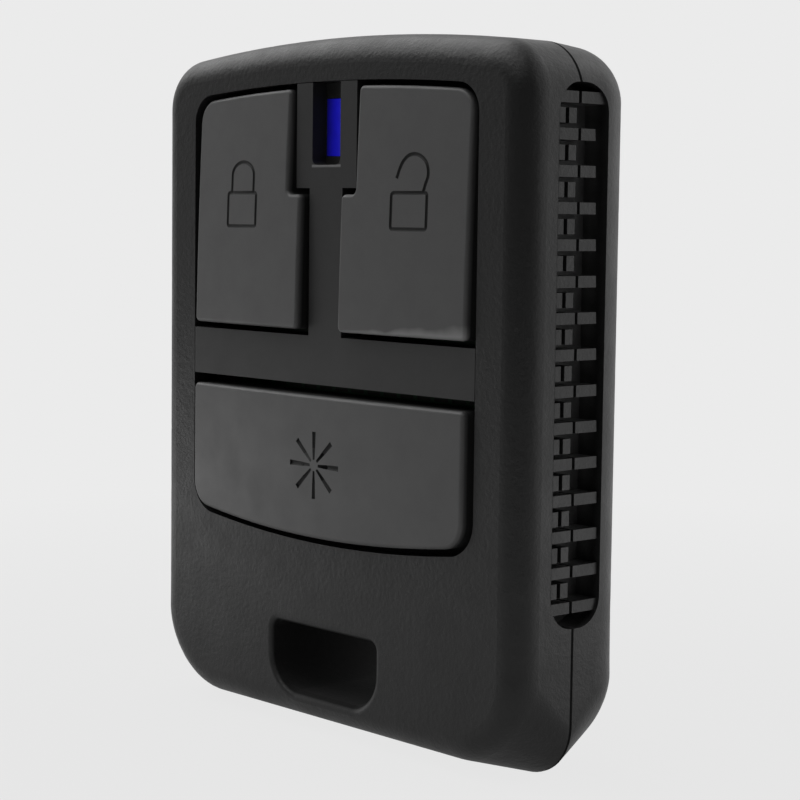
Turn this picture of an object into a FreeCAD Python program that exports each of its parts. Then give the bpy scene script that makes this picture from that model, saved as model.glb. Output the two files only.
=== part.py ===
import FreeCAD, Part
import math
import os
import re
import Sketcher

# Car alarm remote: a two-part moulded case with three domed keys around a T-shaped divider,
# a comb of grip fins in each side and a strap opening through the lower end.
# Millimetres. X runs across, Z runs up from the flat lower end, and the keys face -Y.
# The origin lies under the middle of the whole object. Depths are measured from the front face.

os.makedirs("parts", exist_ok=True)
doc = FreeCAD.newDocument("car_alarm_remote")

SIZES = {
    # Case
    "case_width": 44.2,
    "case_height": 55.5,
    "case_depth": 12.1,
    "front_depth": 5.6,
    "case_crown": 168.0,
    "front_draft": 0.1,
    "front_rise": 1.3,
    "front_top_corner": 4.1,
    "front_bottom_corner": 8.4,
    "parting_top_corner": 4.3,
    "parting_bottom_corner": 4.2,
    "rear_rise": 0.1,
    "rear_drop": 0.65,
    "rear_top_corner": 4.3,
    "rear_bottom_corner": 11.2,
    "front_edge": 2.2,
    "rear_edge": 4.0,
    "parting_bevel": 0.12,
    "wall": 1.5,
    "face_wall": 1.5,
    "rear_wall": 1.5,
    "lip_height": 0.9,
    "lip_thickness": 0.7,
    "lip_clearance": 0.06,
    # Key window in the front face
    "window_side": 4.9,
    "window_bottom": 15.5,
    "window_head": 3.5,
    "window_top_crown": 190.0,
    "window_bottom_crown": 115.0,
    "window_top_corner": 2.3,
    "window_bottom_corner": 2.8,
    # T-shaped divider between the keys
    "divider_clearance": 0.06,
    "divider_depth": 2.4,
    "bar_bottom": 28.2,
    "bar_height": 3.85,
    "stem_width": 4.0,
    "stem_head_width": 7.3,
    "stem_head_height": 8.3,
    "tab_reach": 1.1,
    "tab_width": 3.0,
    "led_slot_width": 3.4,
    "led_slot_length": 6.5,
    "led_slot_depth": 1.4,
    "led_slot_corner": 0.5,
    # Keys
    "key_side_gap": 0.7,
    "key_top_gap": 0.45,
    "key_bottom_gap": 0.6,
    "key_bar_gap": 0.5,
    "key_stem_gap": 0.5,
    "star_bar_gap": 0.8,
    "key_corner": 0.45,
    "key_edge": 0.3,
    "key_back": 2.6,
    "key_skin": 1.1,
    "key_rim": 1.2,
    "dome_rise": 1.0,
    "dome_height": 21.9,
    "dome_across": 320.0,
    "dome_along": 600.0,
    "flange_reach": 0.7,
    "flange_thickness": 0.8,
    "stop_clearance": 0.1,
    "post_radius": 1.6,
    "rib_thickness": 0.8,
    # Light guide and status lamp
    "guide_sill": 0.75,
    "guide_height": 4.45,
    "guide_width": 3.2,
    "guide_clearance": 0.05,
    "guide_back": 3.5,
    "guide_flange": 0.5,
    "lamp_width": 2.8,
    "lamp_height": 3.2,
    "lamp_thickness": 1.4,
    # Grip combs in the two sides
    "grip_front": 3.3,
    "grip_rear": 8.4,
    "grip_bottom": 11.5,
    "grip_head": 4.1,
    "grip_corner": 2.2,
    "grip_depth": 2.4,
    "grip_wall": 1.0,
    "fin_count": 15,
    "fin_low_end": 1.55,
    "fin_high_end": 1.11,
    "fin_thickness": 0.85,
    "fin_inset": 0.25,
    "fin_gap": 0.3,
    "fin_taper": 1.2,
    "stud_inset": 0.3,
    "stud_height": 1.1,
    "stud_length": 0.85,
    "stud_gap": 0.38,
    # Strap opening
    "strap_width": 12.6,
    "strap_bottom": 3.1,
    "strap_top": 8.55,
    "strap_top_corner": 0.7,
    "strap_bottom_corner": 2.9,
    "strap_edge": 0.6,
    "strap_wall": 1.2,
    # Case screws and their bosses
    "screw_inset": 9.5,
    "screw_z": 7.6,
    "boss_radius": 2.4,
    "rear_boss_radius": 2.9,
    "screw_radius": 0.95,
    "screw_bite": 3.6,
    "thread_clearance": 0.03,
    "shank_clearance": 0.15,
    "head_radius": 1.75,
    "head_height": 1.1,
    "head_clearance": 0.2,
    "head_sink": 2.3,
    "drive_width": 0.45,
    "drive_length": 1.9,
    "drive_depth": 0.6,
    # Circuit board and the ledges that hold it
    "board_clearance": 0.7,
    "board_bottom": 11.3,
    "board_head": 3.4,
    "board_corner": 1.5,
    "board_front": 5.2,
    "board_thickness": 1.0,
    "ledge_thickness": 1.0,
    "ledge_height": 3.0,
    "ledge_reach": 0.8,
    "ledge_inset": 2.4,
    "seat_clearance": 0.03,
    # Switches under the keys
    "switch_width": 6.0,
    "switch_height": 1.5,
    "switch_cover": 0.2,
    "button_radius": 1.5,
    "button_rise": 0.5,
    "button_clearance": 0.05,
    "button_length": 1.4,
    "switch_lead": 0.7,
    "upper_switch_drop": 11.0,
    # Coin cell and its contacts
    "cell_radius": 10.0,
    "cell_thickness": 3.2,
    "cell_offset": 0.3,
    "cell_edge": 0.4,
    "contact_thickness": 0.3,
    "contact_length": 14.0,
    "contact_width": 4.0,
    "clip_thickness": 0.25,
    "clip_width": 6.0,
    "clip_gap": 0.3,
    "clip_foot": 2.2,
    # Radio parts on the board
    "chip_length": 4.9,
    "chip_width": 3.9,
    "chip_thickness": 1.5,
    "chip_lead_pitch": 1.27,
    "chip_lead_width": 0.4,
    "chip_lead_reach": 1.0,
    "chip_lead_thickness": 0.2,
    "chip_rise": 2.0,
    "resonator_radius": 4.6,
    "resonator_rim": 0.4,
    "resonator_rim_height": 0.5,
    "resonator_height": 3.0,
    "resonator_inset": 7.1,
    "resonator_rise": 0.4,
    "transistor_length": 2.9,
    "transistor_width": 1.3,
    "transistor_height": 1.0,
    "transistor_x": -2.0,
    "trimmer_radius": 2.2,
    "trimmer_height": 1.6,
    "trimmer_slot": 0.5,
    "trimmer_x": 2.0,
    "small_part_length": 2.0,
    "small_part_width": 1.25,
    "small_part_pitch": 2.4,
    "small_part_inset": 10.4,
    "small_part_rise": 2.6,
    "capacitor_height": 1.0,
    "resistor_height": 0.5,
    "antenna_wire": 0.4,
    "antenna_inset": 4.0,
    "antenna_gap": 2.3,
    "antenna_head": 1.2,
    "antenna_bend": 1.5,
    "solder_gap": 0.02,
}

sheet = doc.addObject("Spreadsheet::Sheet", "sizes")
for row, (alias, number) in enumerate(SIZES.items(), start=1):
    sheet.set(f"A{row}", alias)
    sheet.set(f"B{row}", str(number))
    sheet.setAlias(f"B{row}", alias)
doc.recompute()

# Places worked out from the sizes
FACE_Y = "(dome_rise - case_depth) / 2"
HALF_CASE = "case_width / 2"
WINDOW_HALF = "(case_width / 2 - window_side)"
WINDOW_TOP = "(case_height - window_head)"
BAR_TOP = "(bar_bottom + bar_height)"
STEM_STEP = "(case_height - window_head - stem_head_height)"
LED_SLOT_BOTTOM = "(case_height - window_head - led_slot_length)"
GUIDE_BOTTOM = "(case_height - window_head - led_slot_length + guide_sill)"
GRIP_FLOOR = "(case_width / 2 - grip_depth)"
GRIP_INNER = "(case_width / 2 - grip_depth - grip_wall)"
GRIP_TOP = "(case_height - grip_head)"
FIN_FIRST = "(grip_bottom + fin_low_end)"
FIN_PITCH = f"(({GRIP_TOP} - fin_high_end - {FIN_FIRST}) / (fin_count - 1))"
BOARD_HALF = f"({GRIP_INNER} - board_clearance)"
BOARD_TOP = "(case_height - board_head)"
BOARD_BACK = "(board_front + board_thickness)"
SCREW_X = "(case_width / 2 - screw_inset)"
CELL_Z = f"((board_bottom + {BOARD_TOP}) / 2 + cell_offset)"
FLANGE_FRONT = "(face_wall + stop_clearance)"
SWITCH_FRONT = "(board_front - switch_height - switch_cover)"
BUTTON_FRONT = "(board_front - switch_height - switch_cover - button_rise)"
CELL_FRONT = "(board_front + board_thickness + contact_thickness)"
FAR = "40"


def named(expression):
    """Give every size name in an expression the prefix that FreeCAD needs to find it."""
    return re.sub(r"[a-z]\w*", lambda word: "sizes." + word[0] if word[0] in SIZES else word[0], expression)


def value(expression):
    return float(sheet.evalExpression(named(expression)))


def new_body(name):
    """One moulded or cut piece, with its own y = 0 in the plane of the front face."""
    body = doc.addObject("PartDesign::Body", name)
    body.Label = name
    body.setExpression("Placement.Base.y", named(FACE_Y))
    return body


def origin_feature(body, role):
    return next(item for item in body.Origin.OriginFeatures if item.Role == role)


def new_sketch(body, name, plane, offset):
    sketch = body.newObject("Sketcher::SketchObject", name)
    sketch.AttachmentSupport = [(origin_feature(body, plane), "")]
    sketch.MapMode = "FlatFace"
    sketch.setExpression("AttachmentOffset.Base.z", named(offset))
    return sketch


def face_sketch(body, name, depth):
    """A sketch parallel to the front face, at a depth behind it. Its normal points forwards."""
    return new_sketch(body, name, "XZ_Plane", f"-({depth})")


def side_sketch(body, name, across):
    """A sketch in a plane parallel to the sides. Its normal points along +X."""
    return new_sketch(body, name, "YZ_Plane", across)


def bind(sketch, kind, *where, size):
    index = sketch.addConstraint(Sketcher.Constraint(kind, *where, value(size)))
    sketch.setExpression(f"Constraints[{index}]", named(size))


def draw_polygon(sketch, corners):
    """A closed outline of straight lines through corners, each placed by two expressions."""
    first = sketch.GeometryCount
    points = [FreeCAD.Vector(value(across), value(up), 0) for across, up in corners]
    count = len(points)
    for index in range(count):
        sketch.addGeometry(Part.LineSegment(points[index], points[(index + 1) % count]), False)
    for index in range(count):
        following = first + (index + 1) % count
        sketch.addConstraint(Sketcher.Constraint("Coincident", first + index, 2, following, 1))
    for index, (across, up) in enumerate(corners):
        bind(sketch, "DistanceX", -1, 1, first + index, 1, size=across)
        bind(sketch, "DistanceY", -1, 1, first + index, 1, size=up)


def mirrored(half):
    """The corners of an outline, from its right half in order from the middle round to the middle."""
    return half + [(f"-({across})", up) for across, up in reversed(half)]


def draw_rectangle(sketch, left, right, low, high):
    draw_polygon(sketch, [(left, low), (right, low), (right, high), (left, high)])


def draw_circle(sketch, across, up, radius):
    centre = FreeCAD.Vector(value(across), value(up), 0)
    circle = sketch.addGeometry(Part.Circle(centre, FreeCAD.Vector(0, 0, 1), value(radius)), False)
    bind(sketch, "Radius", circle, size=radius)
    bind(sketch, "DistanceX", -1, 1, circle, 3, size=across)
    bind(sketch, "DistanceY", -1, 1, circle, 3, size=up)


def draw_panel(sketch, half, bottom, top, bottom_corner, top_corner,
               bottom_crown=None, top_crown=None, middle="0"):
    """A panel with upright sides and round corners. Its ends are straight, or bowed outwards by a crown."""
    centre, reach = value(middle), value(half)

    def end_geometry(edge, crown, corner, sign):
        """The end's arc centre, its half angle from upright, and the centre height of its corners."""
        radius = value(corner)
        if crown is None:
            return None, 0.0, value(edge) - sign * radius
        bow = value(crown)
        pivot = value(edge) - sign * bow
        rise = math.sqrt((bow - radius) ** 2 - (reach - radius) ** 2)
        return pivot, math.asin((reach - radius) / (bow - radius)), pivot + sign * rise

    def arc(across, up, radius, start, end):
        circle = Part.Circle(FreeCAD.Vector(across, up, 0), FreeCAD.Vector(0, 0, 1), radius)
        return sketch.addGeometry(Part.ArcOfCircle(circle, start, end), False)

    def line(x0, y0, x1, y1):
        ends = FreeCAD.Vector(x0, y0, 0), FreeCAD.Vector(x1, y1, 0)
        return sketch.addGeometry(Part.LineSegment(*ends), False)

    quarter = math.pi / 2
    low_pivot, low_angle, low_corner_up = end_geometry(bottom, bottom_crown, bottom_corner, -1)
    high_pivot, high_angle, high_corner_up = end_geometry(top, top_crown, top_corner, 1)
    low_radius, high_radius = value(bottom_corner), value(top_corner)
    low_x, high_x = reach - low_radius, reach - high_radius
    if bottom_crown is None:
        low_end = line(centre - low_x, value(bottom), centre + low_x, value(bottom))
    else:
        low_end = arc(centre, low_pivot, value(bottom_crown), -quarter - low_angle, -quarter + low_angle)
    arc(centre + low_x, low_corner_up, low_radius, -quarter + low_angle, 0)
    right = line(centre + reach, low_corner_up, centre + reach, high_corner_up)
    arc(centre + high_x, high_corner_up, high_radius, 0, quarter - high_angle)
    if top_crown is None:
        high_end = line(centre + high_x, value(top), centre - high_x, value(top))
    else:
        high_end = arc(centre, high_pivot, value(top_crown), quarter - high_angle, quarter + high_angle)
    arc(centre - high_x, high_corner_up, high_radius, quarter + high_angle, math.pi)
    left = line(centre - reach, high_corner_up, centre - reach, low_corner_up)
    last = arc(centre - low_x, low_corner_up, low_radius, math.pi, 3 * quarter - low_angle)

    for index in range(low_end, last):
        sketch.addConstraint(Sketcher.Constraint("Tangent", index, 2, index + 1, 1))
    sketch.addConstraint(Sketcher.Constraint("Tangent", last, 2, low_end, 1))
    for upright, side in ((right, ""), (left, "-")):
        sketch.addConstraint(Sketcher.Constraint("Vertical", upright))
        bind(sketch, "DistanceX", -1, 1, upright, 1, size=f"{middle} + {side}({half})")
    for corner, radius in ((low_end + 1, bottom_corner), (right + 1, top_corner)):
        bind(sketch, "Radius", corner, size=radius)
    sketch.addConstraint(Sketcher.Constraint("Equal", low_end + 1, last))
    sketch.addConstraint(Sketcher.Constraint("Equal", right + 1, high_end + 1))
    for end, edge, crown, sign in ((low_end, bottom, bottom_crown, "+"), (high_end, top, top_crown, "-")):
        if crown is None:
            sketch.addConstraint(Sketcher.Constraint("Horizontal", end))
            bind(sketch, "DistanceY", -1, 1, end, 1, size=edge)
        else:
            bind(sketch, "Radius", end, size=crown)
            bind(sketch, "DistanceX", -1, 1, end, 3, size=middle)
            bind(sketch, "DistanceY", -1, 1, end, 3, size=f"{edge} {sign} ({crown})")


# Half width, lower end, upper end and lower and upper corner radius of the case, at its front
# face, at the parting line and at its back
CASE_SECTIONS = {
    "front": ("case_width / 2 - front_draft", "front_rise", "case_height",
              "front_bottom_corner", "front_top_corner"),
    "parting": ("case_width / 2", "0", "case_height", "parting_bottom_corner", "parting_top_corner"),
    "rear": ("case_width / 2", "rear_rise", "case_height - rear_drop",
             "rear_bottom_corner", "rear_top_corner"),
}


def draw_case(sketch, section, inset):
    """The case outline at one of its sections, moved inwards by an inset."""
    half, low, high, low_corner, high_corner = CASE_SECTIONS[section]
    draw_panel(sketch, f"{half} - ({inset})", f"{low} + ({inset})", f"{high} - ({inset})",
               f"{low_corner} - ({inset})", f"{high_corner} - ({inset})",
               top_crown=f"case_crown - ({inset})")


def draw_window(sketch, inset):
    """The key window's outline, moved inwards by an inset."""
    draw_panel(sketch, f"{WINDOW_HALF} - ({inset})",
               f"window_bottom + ({inset})", f"{WINDOW_TOP} - ({inset})",
               f"window_bottom_corner - ({inset})", f"window_top_corner - ({inset})",
               bottom_crown=f"window_bottom_crown - ({inset})", top_crown=f"window_top_crown - ({inset})")


def draw_strap(sketch, growth):
    """The strap opening's outline, moved outwards by a growth."""
    draw_panel(sketch, f"strap_width / 2 + ({growth})",
               f"strap_bottom - ({growth})", f"strap_top + ({growth})",
               f"strap_bottom_corner + ({growth})", f"strap_top_corner + ({growth})")


def settle(feature):
    """Bring the document up to date, and stop at a step that can't be made."""
    doc.recompute()
    if "Invalid" in feature.State or "Error" in feature.State:
        raise RuntimeError(f"{feature.Name} can't be made")
    return feature


def finish_feature(body, feature, profile, length, reverse):
    feature.Profile = profile
    feature.setExpression("Length", named(length))
    feature.Reversed = reverse
    return settle(feature)


def pad(body, sketch, length, forwards=False):
    """Add the sketch's outline, against its normal unless forwards is set."""
    feature = body.newObject("PartDesign::Pad", sketch.Name + "_pad")
    return finish_feature(body, feature, sketch, length, not forwards)


def pocket(body, sketch, length, forwards=False):
    """Cut the sketch's outline away, against its normal unless forwards is set."""
    before = body.Shape.Volume
    feature = body.newObject("PartDesign::Pocket", sketch.Name + "_pocket")
    finish_feature(body, feature, sketch, length, forwards)
    if body.Shape.Volume >= before:
        raise RuntimeError(f"{feature.Name} removes nothing")
    return feature


def case_loft(body, label, stations, kind="PartDesign::AdditiveLoft"):
    """Join case outlines, each a section with its depth and its inset, by straight rulings."""
    outlines = []
    for number, (section, depth, inset) in enumerate(stations):
        outline = face_sketch(body, f"{label}_{section}_{number}", depth)
        draw_case(outline, section, inset)
        outlines.append(outline)
    loft = body.newObject(kind, f"{label}_loft")
    loft.Profile = outlines[0]
    loft.Sections = outlines[1:]
    loft.Ruled = True
    return settle(loft)


def row_of(body, feature, name, count, pitch):
    """Repeat a feature upwards at a steady pitch."""
    pattern = body.newObject("PartDesign::LinearPattern", name)
    pattern.Originals = [feature]
    pattern.Direction = (origin_feature(body, "Z_Axis"), [""])
    pattern.setExpression("Length", named(f"({count} - 1) * ({pitch})"))
    pattern.setExpression("Occurrences", named(count))
    body.Tip = pattern
    return settle(pattern)


def edges_inside(body, low, high):
    """Names of the edges that lie wholly between two corners of a box, in the body's own frame."""
    shape = body.Tip.Shape
    slack = 1e-4
    found = []
    for index, edge in enumerate(shape.Edges, start=1):
        box = edge.BoundBox
        inside_x = box.XMin > low[0] - slack and box.XMax < high[0] + slack
        inside_y = box.YMin > low[1] - slack and box.YMax < high[1] + slack
        inside_z = box.ZMin > low[2] - slack and box.ZMax < high[2] + slack
        if inside_x and inside_y and inside_z:
            found.append(f"Edge{index}")
    return found


def round_edges(body, name, edges, radius, kind="PartDesign::Fillet"):
    base = body.Tip
    feature = body.newObject(kind, name)
    feature.Base = (base, edges)
    feature.setExpression("Size" if kind.endswith("Chamfer") else "Radius", named(radius))
    return settle(feature)


def edges_at(body, depth):
    """The edges that lie at one depth."""
    return edges_inside(body, *depth_slab(depth, depth))


def depth_slab(low, high):
    """Corners of a box as wide as the whole part, between two depths."""
    far = value(FAR) * 2
    return (-far, value(low), -far), (far, value(high), far)


# The case: shared steps of the two shells

# The wall behind a grip keeps inside the rounded upper corners of the case
GRIP_WALL = [
    (GRIP_INNER, "grip_bottom - grip_wall"),
    (f"({HALF_CASE} - wall)", "grip_bottom - grip_wall"),
    (f"({HALF_CASE} - wall)", GRIP_TOP),
    (f"({HALF_CASE} - wall - grip_wall)", f"{GRIP_TOP} + grip_wall"),
    (GRIP_INNER, f"{GRIP_TOP} + grip_wall"),
]


def side_walls(body, label, start, grip_length, strap_length):
    """Thicken the wall behind each grip, and stand the strap opening's wall in the shell."""
    for side, side_name in ((1, "right"), (-1, "left")):
        block = face_sketch(body, f"{label}_{side_name}_grip_wall", start)
        draw_polygon(block, [(f"{side} * {across}", up) for across, up in GRIP_WALL])
        pad(body, block, grip_length)
    strap = face_sketch(body, f"{label}_strap_wall", start)
    draw_strap(strap, "strap_wall")
    pad(body, strap, strap_length)


def grip_recess(body, label):
    for side, side_name in ((1, "right"), (-1, "left")):
        recess = side_sketch(body, f"{label}_{side_name}_grip", f"{side} * {HALF_CASE}")
        draw_panel(recess, "(grip_rear - grip_front) / 2", "grip_bottom", GRIP_TOP,
                   "grip_corner", "grip_corner", middle="(grip_front + grip_rear) / 2")
        pocket(body, recess, "grip_depth", forwards=side < 0)


def comb(body, label, start, end, height, base, inset, count):
    """A row of upright-spaced blocks on the floor of each grip recess."""
    for side, side_name in ((1, "right"), (-1, "left")):
        tooth = side_sketch(body, f"{label}_{side_name}", f"{side} * {GRIP_FLOOR}")
        draw_rectangle(tooth, start, end, f"{base} - {height} / 2", f"{base} + {height} / 2")
        block = pad(body, tooth, f"grip_depth - {inset}", forwards=side > 0)
        row_of(body, block, f"{label}_{side_name}_row", count, FIN_PITCH)


def board_ledges(body, label, start):
    """Four short ledges on the grip walls, two a side, that hold the board's edges."""
    for side, side_name in ((1, "right"), (-1, "left")):
        ledges = face_sketch(body, f"{label}_{side_name}_ledges", start)
        for low in ("board_bottom + ledge_inset", f"{BOARD_TOP} - ledge_inset - ledge_height"):
            draw_rectangle(ledges, f"{side} * ({BOARD_HALF} - ledge_reach)",
                           f"{side} * ({GRIP_INNER} + grip_wall / 2)", low, f"{low} + ledge_height")
        pad(body, ledges, "ledge_thickness")


# Front shell

front = new_body("front_shell")
case_loft(front, "front_case", [("parting", "front_depth - parting_bevel", "0"), ("front", "0", "0")])
round_edges(front, "front_rounding", edges_at(front, "0"), "front_edge")

case_loft(front, "front_bevel", [("parting", "front_depth", "parting_bevel"),
                                 ("parting", "front_depth - parting_bevel", "0")])
case_loft(front, "front_cavity", [("parting", "front_depth", "wall"),
                                  ("front", "face_wall", "wall")], "PartDesign::SubtractiveLoft")
side_walls(front, "front", "face_wall", "front_depth - face_wall", "front_depth - face_wall")

bosses = face_sketch(front, "front_bosses", "face_wall")
for side in (1, -1):
    draw_circle(bosses, f"{side} * {SCREW_X}", "screw_z", "boss_radius")
pad(front, bosses, "front_depth - face_wall")
pilots = face_sketch(front, "screw_pilots", "front_depth - screw_bite")
for side in (1, -1):
    draw_circle(pilots, f"{side} * {SCREW_X}", "screw_z", "screw_radius + thread_clearance")
pocket(front, pilots, "screw_bite")

rebate = face_sketch(front, "lip_rebate", "front_depth - lip_height - lip_clearance")
draw_case(rebate, "parting", "wall - lip_thickness - lip_clearance")
draw_case(rebate, "parting", "wall + lip_thickness")
pocket(front, rebate, "lip_height + lip_clearance")

board_ledges(front, "front", "board_front - ledge_thickness")

window = face_sketch(front, "key_window", "0")
draw_window(window, "0")
pocket(front, window, "face_wall")

strap_hole = face_sketch(front, "front_strap_opening", "0")
draw_strap(strap_hole, "0")
pocket(front, strap_hole, "front_depth")
strap_low, strap_high = value("strap_bottom"), value("strap_top")
strap_half = value("strap_width / 2")
strap_rim = edges_inside(front, (-strap_half, 0, strap_low), (strap_half, 0, strap_high))
round_edges(front, "strap_rim_rounding", strap_rim, "strap_edge")

grip_recess(front, "front")
comb(front, "front_fin", "grip_front - wall / 4", "front_depth - fin_gap / 2", "fin_thickness",
     FIN_FIRST, "fin_inset", "fin_count")
STUD_Z = f"({FIN_FIRST} + {FIN_PITCH} / 2)"
comb(front, "edge_stud", "grip_front - wall / 4", "grip_front + stud_length", "stud_height",
     STUD_Z, "stud_inset", "fin_count - 1")
comb(front, "inner_stud", "grip_front + stud_length + stud_gap", "front_depth - fin_gap",
     "stud_height", STUD_Z, "stud_inset", "fin_count - 1")

# Rear shell

rear = new_body("rear_shell")
case_loft(rear, "rear_case", [("rear", "case_depth", "0"), ("parting", "front_depth + parting_bevel", "0")])
round_edges(rear, "rear_rounding", edges_at(rear, "case_depth"), "rear_edge")

case_loft(rear, "rear_bevel", [("parting", "front_depth + parting_bevel", "0"),
                               ("parting", "front_depth", "parting_bevel")])
case_loft(rear, "rear_cavity", [("rear", "case_depth - rear_wall", "wall"),
                                ("parting", "front_depth", "wall")], "PartDesign::SubtractiveLoft")
floor_edges = edges_at(rear, "case_depth - rear_wall")
round_edges(rear, "cavity_rounding", floor_edges, "rear_edge - wall")
side_walls(rear, "rear", "front_depth", "grip_rear + grip_wall - front_depth",
           "case_depth - front_depth - rear_wall")

bosses = face_sketch(rear, "rear_bosses", "front_depth")
for side in (1, -1):
    draw_circle(bosses, f"{side} * {SCREW_X}", "screw_z", "rear_boss_radius")
pad(rear, bosses, "case_depth - front_depth - rear_wall")

lip = face_sketch(rear, "lip", "front_depth - lip_height")
draw_case(lip, "parting", "wall - lip_thickness")
draw_case(lip, "parting", "wall")
pad(rear, lip, "lip_height")
lip_gaps = face_sketch(rear, "lip_gaps", "front_depth - lip_height")
for side in (1, -1):
    draw_rectangle(lip_gaps, f"{side} * ({GRIP_INNER} - grip_wall)", f"{side} * {HALF_CASE}",
                   "grip_bottom - grip_wall - lip_clearance * 2",
                   f"{GRIP_TOP} + grip_wall + lip_clearance * 2")
pocket(rear, lip_gaps, "lip_height")

board_ledges(rear, "rear", f"{BOARD_BACK} + seat_clearance")

strap_hole = face_sketch(rear, "rear_strap_opening", "front_depth - lip_height")
draw_strap(strap_hole, "0")
pocket(rear, strap_hole, "case_depth - front_depth + lip_height")
rear_plane = value("case_depth")
strap_rim = edges_inside(rear, (-strap_half, rear_plane, strap_low), (strap_half, rear_plane, strap_high))
round_edges(rear, "rear_strap_rim_rounding", strap_rim, "strap_edge")

shanks = face_sketch(rear, "screw_holes", "front_depth")
for side in (1, -1):
    draw_circle(shanks, f"{side} * {SCREW_X}", "screw_z", "screw_radius + shank_clearance")
pocket(rear, shanks, "case_depth - front_depth")
sinks = face_sketch(rear, "head_recesses", "case_depth - head_sink")
for side in (1, -1):
    draw_circle(sinks, f"{side} * {SCREW_X}", "screw_z", "head_radius + head_clearance")
pocket(rear, sinks, "head_sink")

grip_recess(rear, "rear")
comb(rear, "rear_fin", "front_depth + fin_gap / 2", "grip_rear + wall / 4", "fin_thickness",
     FIN_FIRST, "fin_inset", "fin_count")
for side, side_name in ((1, "right"), (-1, "left")):
    # The rear fins stop short of the recess edge, by more towards the upper end.
    taper = side_sketch(rear, f"fin_taper_{side_name}", f"{side} * {HALF_CASE}")
    draw_polygon(taper, [("grip_rear", "grip_bottom + grip_corner"),
                         ("grip_rear", f"{GRIP_TOP} - grip_corner"),
                         ("grip_rear - fin_taper", f"{GRIP_TOP} - grip_corner")])
    pocket(rear, taper, "grip_depth", forwards=side < 0)

# The divider between the keys, flush with the front face

divider = new_body("key_divider")
tee = face_sketch(divider, "tee", "0")
STEM_HALF = "stem_width / 2"
HEAD_HALF = "stem_head_width / 2"
draw_polygon(tee, mirrored([(HALF_CASE, "bar_bottom"), (HALF_CASE, BAR_TOP), (STEM_HALF, BAR_TOP),
                            (STEM_HALF, STEM_STEP), (HEAD_HALF, STEM_STEP), (HEAD_HALF, "case_height")]))
pad(divider, tee, "divider_depth")
trim = face_sketch(divider, "window_trim", "0")
draw_window(trim, "divider_clearance")
draw_rectangle(trim, f"-{FAR}", FAR, f"-{FAR}", f"2 * {FAR}")
pocket(divider, trim, "divider_depth")
tabs = face_sketch(divider, "tabs", "face_wall")
for side in (1, -1):
    draw_rectangle(tabs, f"{side} * ({WINDOW_HALF} - tab_reach)", f"{side} * ({WINDOW_HALF} + tab_reach)",
                   "bar_bottom + (bar_height - tab_width) / 2", "bar_bottom + (bar_height + tab_width) / 2")
draw_rectangle(tabs, "-tab_width / 2", "tab_width / 2",
               f"{WINDOW_TOP} - tab_reach", f"{WINDOW_TOP} + tab_reach")
pad(divider, tabs, "divider_depth - face_wall")
slot = face_sketch(divider, "lamp_slot", "0")
draw_panel(slot, "led_slot_width / 2", LED_SLOT_BOTTOM, "case_height", "led_slot_corner", "led_slot_corner")
pocket(divider, slot, "led_slot_depth")
hole = face_sketch(divider, "guide_hole", "led_slot_depth")
draw_rectangle(hole, "-(guide_width / 2 + guide_clearance)", "guide_width / 2 + guide_clearance",
               f"{GUIDE_BOTTOM} - guide_clearance", f"{GUIDE_BOTTOM} + guide_height + guide_clearance")
pocket(divider, hole, "divider_depth - led_slot_depth")

# The three keys, each with a hollow back and a post over its switch

KEY_HALF = f"({WINDOW_HALF} - key_side_gap)"
KEY_TOP = f"({WINDOW_TOP} - key_top_gap)"
KEY_BOTTOM = "(window_bottom + key_bottom_gap)"
UPPER_KEY_BOTTOM = "(bar_bottom + bar_height + key_bar_gap)"
STAR_KEY_TOP = "(bar_bottom - star_bar_gap)"
UPPER_SWITCH_X = f"(({KEY_HALF} + {STEM_HALF} + key_stem_gap) / 2)"
UPPER_SWITCH_Z = f"({WINDOW_TOP} - upper_switch_drop)"


def straight_back_edges(body, low, high):
    """The edges between two corners of a box that run straight from front to back."""
    found = []
    for name in edges_inside(body, low, high):
        box = body.Tip.Shape.getElement(name).BoundBox
        if box.XLength < 1e-3 and box.ZLength < 1e-3:
            found.append(name)
    return found


def key_blank(body):
    """The full window plug with its flange, before the neighbours are cut away."""
    name = body.Label
    plug = face_sketch(body, f"{name}_plug", "-(dome_rise + key_edge)")
    draw_panel(plug, KEY_HALF, KEY_BOTTOM, KEY_TOP,
               "window_bottom_corner - key_side_gap", "window_top_corner - key_top_gap",
               bottom_crown="window_bottom_crown - key_bottom_gap",
               top_crown="window_top_crown - key_top_gap")
    pad(body, plug, "dome_rise + key_edge + key_back")
    flange = face_sketch(body, f"{name}_flange", FLANGE_FRONT)
    draw_window(flange, "-flange_reach")
    pad(body, flange, "flange_thickness")


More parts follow.
